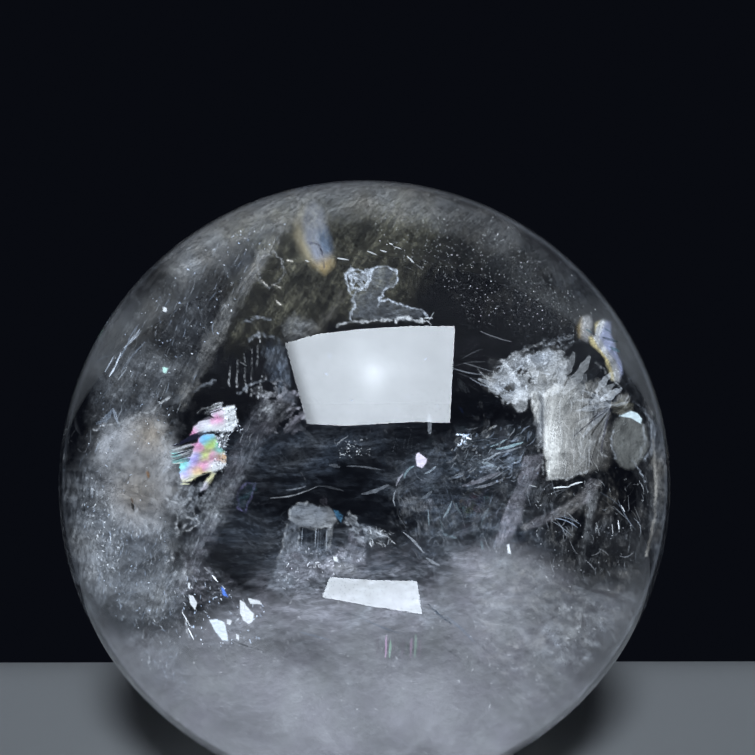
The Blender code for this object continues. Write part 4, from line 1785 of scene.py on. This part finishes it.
def add_flames():
    """The two flames of trapped air."""
    add_film("flame", FLAME, 501, level=-0.15, strength=0.15, angle=110, length=40, width=12, soft=5,
             ragged=1.5, sharpness=0.8, base=0.7, step=1.1, tint_at=flame_tint, shade_at=flame_shade,
             material=SILK, rough=0.001, speckle=0.06)
    add_trace("flame_crack", FLAME_CRACK, 505, level=-0.18, width=1.3, strength=0.75, tint=BLACK, wobble=2,
              broken=0.4, grit=5.0)
    add_film("flame_lobe", FLAME_LOBE, 511, level=-0.2, strength=0.17, angle=70, width=10, soft=3, ragged=1,
             sharpness=0.8, base=0.6, step=1.1, tint_at=lobe_tint, material=SILK, rough=0.001)
    add_film("flame_tail", FLAME_TAIL, 513, level=-0.2, strength=0.24, angle=70, length=20, width=9,
             soft=1.8, ragged=1.2, sharpness=0.8, base=0.55, step=1.0, tint_at=right_flame_tint,
             material=SILK, rough=0.001)
    add_blades("flame_shade", FLAME_SHADE, 515, level=-0.23, depth=(0.5, 0.501), strength=0.55, spread=0.2,
               tint=FLAME_DARK)


def add_rainbow():
    """The rainbow sliver at the left."""
    look = {"tint_at": rainbow_tint, "rough": 0.001, "soft": 0.9, "ragged": 1.2, "fray": 4, "material": SILK,
            "speckle": 0.05, "step": 0.9}
    add_trace("rainbow_brim", RAINBOW_BRIM, 519, level=-0.36, width=1.3, strength=0.30, wobble=1, grit=3,
              broken=0.4)
    add_film("rainbow_top", RAINBOW_TOP, 521, level=-0.35, strength=0.40, angle=22, length=26,
             sharpness=0.8, base=0.6, **look)
    add_film("rainbow_lower", RAINBOW_LOWER, 531, level=-0.35, strength=0.50, angle=18, width=7,
             sharpness=0.7, base=0.7, **look)
    add_film("rainbow_side", RAINBOW_SIDE, 533, level=-0.35, strength=0.22, angle=16, length=40, width=2,
             sharpness=2.0, base=0.0, **look)
    add_film("rainbow_tail", RAINBOW_TAIL, 535, level=-0.35, strength=0.30, angle=50, length=20, width=3,
             **look)
    add_film("rainbow_frost", RAINBOW_FROST, 537, level=-0.37, strength=0.20, length=7, step=0.9, soft=2,
             ragged=3, fray=5, base=0.2, mosaic=0.5, cell=(3, 2.5), holes=0.35, tint=WHITE, second=COOL)
    add_film("rainbow_faint", RAINBOW_FAINT, 541, depth=0.4, strength=0.014, angle=20, length=26, soft=2,
             ragged=3, fray=6, base=0.3, step=1.3, tint=VIOLET, second=AQUA)
    add_trace("rainbow_faint_edge", [RAINBOW_FAINT + RAINBOW_FAINT[:1]], 543, width=1.2, strength=0.06,
              wobble=2, grit=3, tint=VIOLET)
    add_blades("rainbow_slits", RAINBOW_SLITS, 545, level=-0.39, depth=(0.5, 0.501), strength=0.85,
               spread=0.1, tint=SLIT_BLACK)
    strew("rainbow_crumbs", RAINBOW_CRUMBS, 150, 547, length=(1, 4), width=(0.6, 1.5), level=-0.38,
          depth=(0.5, 0.51), strength=0.30, second=COOL)
    strew("rainbow_grit", RAINBOW_CRUMBS, 60, 549, length=(1, 4), width=(0.6, 1.4), level=-0.39,
          depth=(0.5, 0.51), strength=0.5, tint=GRIT_BLACK)
    add_blades("rainbow_rim", RAINBOW_RIM, 551, level=-0.37, depth=(0.5, 0.501), strength=0.5, spread=0.2,
               tint=LEMON, second=WHITE)


# The tooth-shaped crystal and the frost beside it

TOOTH_TOP = [
    (290, 520), (289, 511), (293, 506), (300, 503), (308, 503), (320, 507), (330, 508), (335, 514),
    (336, 522), (331, 526), (317, 528), (299, 526),
]
TOOTH_LEFT = [
    (289, 517), (299, 526), (299, 548), (290, 556), (276, 588), (266, 590), (276, 566), (284, 545),
]
TOOTH_RIGHT = [(328, 526), (333, 524), (331, 545), (327, 554), (325, 550)]
TOOTH_BASE = [
    (284, 556), (298, 546), (326, 550), (348, 546), (364, 552), (362, 566), (340, 574), (310, 580),
    (284, 590), (276, 582),
]
TOOTH_BLOB = [
    (344, 516), (350, 512), (357, 516), (360, 524), (368, 525), (380, 530), (391, 538), (380, 543),
    (362, 545), (352, 536), (345, 526),
]
TOOTH_LILAC = [(348, 532), (360, 530), (366, 545), (362, 562), (350, 562)]
TOOTH_BLUE = [(333, 509), (338, 511), (343, 516), (341, 522), (336, 517)]
TOOTH_LEDGE = [(330, 566), (344, 562), (356, 566), (358, 576), (332, 577)]
TOOTH_RIM = [
    [(289, 519), (290, 510), (299, 503), (308, 503)], [(320, 506), (329, 507), (335, 515), (337, 523)],
    [(299, 527), (314, 529), (330, 526)], [(299, 528), (298, 548)], [(287, 524), (282, 548), (270, 578)],
]

TOOTH_SPIKES = [(366, 522), (392, 532), (394, 544), (370, 550)]
TOOTH_NAVY, TOOTH_SKY = (0.12, 0.42, 0.75), (0.45, 0.75, 0.9)

# The stripes down the tooth's dark face
STRIPE_COLUMNS = (302.5, 306.5, 312.0, 316.0, 318.5, 321.0, 323.0, 325.0, 327.0)
STRIPE_HEAD = 528
STRIPE_FOOT = 546
STRIPE_WIDTH = 1.2


def tooth_stripes():
    """Fine upright lines down the crystal's dark face, most of them at its right, with uneven ends."""
    stripes = []
    for number, column in enumerate(STRIPE_COLUMNS):
        head = STRIPE_HEAD + number % 3
        foot = STRIPE_FOOT + number * 5 % 7
        stripes.append((column, head, column - 1, foot, STRIPE_WIDTH, 0))
    return stripes


def add_tooth():
    """The tooth-shaped crystal and the frost beside it."""
    add_film("tooth_top", TOOTH_TOP, 601, depth=0.35, strength=0.097, angle=15, length=16, width=8,
             soft=1.2, ragged=1.2, fray=7, sharpness=0.8, base=0.85, step=1.1, tint=WHITE, second=COOL,
             speckle=0.15, material=SILK)
    add_film("tooth_left", TOOTH_LEFT, 611, depth=0.38, strength=0.06, angle=72, width=3, soft=2, ragged=3,
             fray=8, base=0.4, step=1.2, mosaic=0.3, cell=(9, 4))
    add_film("tooth_right", TOOTH_RIGHT, 621, depth=0.38, angle=85, length=20, width=3, soft=1, ragged=1,
             step=1, tint=WHITE)
    add_film("tooth_base", TOOTH_BASE, 651, depth=0.4, strength=0.065, length=10, width=5, soft=4, ragged=6,
             fray=8, sharpness=1.3, base=0.25, step=1.3, tint=LILAC, second=COOL, rough=0.008, mosaic=0.5,
             cell=(6, 4), holes=0.15, speckle=0.3)
    add_film("tooth_blob", TOOTH_BLOB, 641, depth=0.4, angle=-25, length=12, width=5, soft=1.2, ragged=3,
             fray=6, sharpness=1.1, base=0.4, step=1.1, tint=WHITE, second=COOL, rough=0.008, mosaic=0.4,
             cell=(6, 4), holes=0.08)
    add_film("tooth_lilac", TOOTH_LILAC, 643, depth=0.42, strength=0.045, angle=70, length=16, soft=2.5,
             ragged=3, fray=7, step=1.3, tint=LILAC)
    add_film("tooth_ledge", TOOTH_LEDGE, 645, depth=0.42, strength=0.06, angle=70, length=16, width=6,
             soft=1.5, ragged=1, base=0.7, step=1.3, tint=WHITE, second=BEIGE, material=SILK)
    add_film("tooth_blue", TOOTH_BLUE, 647, depth=0.34, strength=0.14, length=12, width=2, soft=0.8,
             ragged=0.4, base=0.6, step=0.8, tint=TOOTH_NAVY, second=TOOTH_SKY)
    add_blades("tooth_stripes", tooth_stripes(), 631, depth=(0.365, 0.375), strength=0.22, spread=0.5,
               tint=COOL, stations=7)
    add_trace("tooth_rim", TOOTH_RIM, 635, depth=0.34, width=1.8, strength=0.10, wobble=1.5)
    strew("tooth_sparks", TOOTH_BASE, 110, 653, length=(1, 6), width=(0.6, 1.8), depth=(0.38, 0.44),
          strength=0.26, second=LILAC, material=CHIP)
    strew("tooth_spikes", TOOTH_SPIKES, 40, 655, angle=-40, swing=40, length=(3, 10), width=(0.6, 1.5),
          depth=(0.39, 0.42), strength=0.13)


# Specks, chips and glints

SPECK_FIELD = [
    (372, 215), (440, 212), (540, 240), (600, 300), (610, 345), (560, 335), (470, 322), (440, 280),
    (380, 245),
]
GLINT_PINK = (0.90, 0.80, 0.92)
GLINT_BLUE = (0.10, 0.25, 0.85)
GLINT_GREEN = (0.55, 0.85, 0.75)
GLINT_PALE = (0.86, 0.92, 0.98)
GLINTS = [
    ("glint_left", WHITE, [(189, 595), (193, 596), (197, 603), (195, 610), (190, 603)]),
    ("glint_middle", WHITE, [
        (240, 600), (244, 602), (248, 608), (254, 614), (253, 621), (249, 624), (243, 620), (240, 612),
    ]),
    ("glint_bar", WHITE, [(248, 598), (260, 601), (262, 604), (250, 604)]),
    ("glint_low", GLINT_PALE, [
        (209, 620), (216, 619), (224, 622), (227, 632), (228, 641), (222, 640), (215, 631),
    ]),
    ("glint_flake", GLINT_PINK, [
        (416, 454), (419, 453), (427, 459), (426, 463), (422, 468), (417, 466), (416, 460),
    ]),
    ("glint_small", WHITE, [(507, 545), (509, 544), (510, 549), (510, 554), (508, 553)]),
    ("glint_blue", GLINT_BLUE, [(221, 587), (224, 589), (228, 597), (223, 595)]),
    ("glint_upper", WHITE, [(163, 307), (167, 308), (166, 312), (163, 311)]),
    ("glint_green", GLINT_GREEN, [(163, 367), (168, 368), (166, 373), (163, 372)]),
    ("glint_third", WHITE, [(227, 619), (232, 621), (230, 625), (227, 624)]),
    ("glint_fourth", WHITE, [(236, 634), (239, 635), (239, 640), (236, 639)]),
    ("glint_fifth", WHITE, [(333, 556), (337, 557), (338, 562), (334, 561)]),
    ("glint_sixth", WHITE, [(188, 583), (190, 583), (190, 589), (188, 588)]),
]
THIN_GLINTS = [
    (529, 485, 537, 487, 1.4, 0), (553, 488, 569, 487, 1.5, -0.5), (568, 487, 583, 482, 1.5, -1),
    (508, 545, 511, 554, 2.2, 0), (222, 474, 222, 466, 1.2, 0), (448, 489, 452, 501, 2.0, 0),
    (240, 362, 247, 366, 1.4, 0), (621, 505, 625, 512, 1.0, 0), (618, 520, 619, 530, 1.0, 0),
    (612, 524, 613, 534, 1.0, 0), (212, 575, 218, 582, 1.4, 0), (204, 567, 210, 573, 1.2, 0),
    (182, 612, 190, 626, 1.2, 0), (188, 628, 194, 640, 1.2, 0), (245, 604, 242, 616, 1.2, 0),
]

# Painted gaps in the key lamp's mirror image, where pits in the polish break it: dark ticks at the
# shallowest depth inside the stone
PAINTED_PIT_TICKS = [
    (373, 366, 374, 374, 1.6, 0), (374, 368, 377, 372, 1.0, 0), (325, 373, 328, 375, 1.3, 0),
    (329, 354, 330, 358, 1.3, 0), (406, 396, 410, 397, 0.9, 0), (424, 360, 427, 358, 0.8, 0),
    (395, 408, 398, 410, 0.8, 0), (350, 401, 353, 400, 0.8, 0), (437, 404, 438, 407, 0.9, 0),
]

PAINTED_PIT_BLUE = (0.10, 0.13, 0.20)


def add_painted_pit_ticks():
    """Dark ticks painted where pits in the polish break the key lamp's mirror image."""
    add_blades("painted_pit_ticks", PAINTED_PIT_TICKS, 791, depth=(-0.0006, -0.0005), strength=0.6, spread=0.4, tint=PAINTED_PIT_BLUE)


def add_sparkle():
    """The specks all through the stone, and the glints."""
    strew("faint_specks", SPECK_FIELD, 800, 701, length=(0.7, 0.9), width=(0.7, 0.9), depth=(0.25, 0.75),
          strength=0.15, spread=1.0, stations=3, blunt=0.2)
    strew("bright_specks", SPECK_FIELD, 70, 703, length=(0.8, 1.3), width=(0.8, 1.1), depth=(0.25, 0.75),
          strength=0.4, stations=3)
    strew("left_specks", LEFT_HAZE, 420, 705, width=(0.6, 1.4), depth=(0.2, 0.7), strength=0.25,
          second=BLUISH, stations=3, spread=0.9)
    strew("rim_specks", LEFT_RIM_CLOUD, 160, 707, length=(0.8, 5), width=(0.6, 1.6), strength=0.3,
          stations=3)
    strew("bed_specks", GLINT_BED, 170, 709, angle=-50, swing=30, length=(0.8, 5), width=(0.6, 1.4),
          strength=0.3, second=BLUISH, stations=3)
    for number, (name, tint, outline) in enumerate(GLINTS):
        add_film(name, outline, 760 + number, level=-0.3, strength=0.6, soft=0.7, ragged=0.4, fray=3,
                 sharpness=0.5, base=0.9, step=0.6, bend=0, rough=0, tint=tint, material=SILK, speckle=0.05,
                 angle=0, width=6)
    add_blades("thin_glints", THIN_GLINTS, 781, level=-0.3, depth=(0.5, 0.501), strength=0.55, spread=0.3)


# Rendering, and the order in which everything is made


def set_render():
    """How light travels and how the picture's tones are kept."""
    scene = bpy.context.scene
    scene.view_settings.view_transform = "Standard"
    scene.cycles.caustics_reflective = False
    scene.cycles.caustics_refractive = False
    scene.cycles.transparent_max_bounces = 32
    scene.cycles.max_bounces = 16
    scene.cycles.transmission_bounces = 12
    scene.cycles.glossy_bounces = 6
    scene.cycles.diffuse_bounces = 0


add_stage()
add_clear_stone()
add_upper_haze()
add_left_haze()
add_lower_clouds()
add_puff_clouds()
add_left_details()
add_fracture_films()
add_fracture_blades()
add_lens()
add_diagonal_band()
add_feathers()
add_right_veils()
add_lace()
add_centre_marks()
add_flames()
add_rainbow()
add_tooth()
add_sparkle()
add_painted_pit_ticks()
set_render()
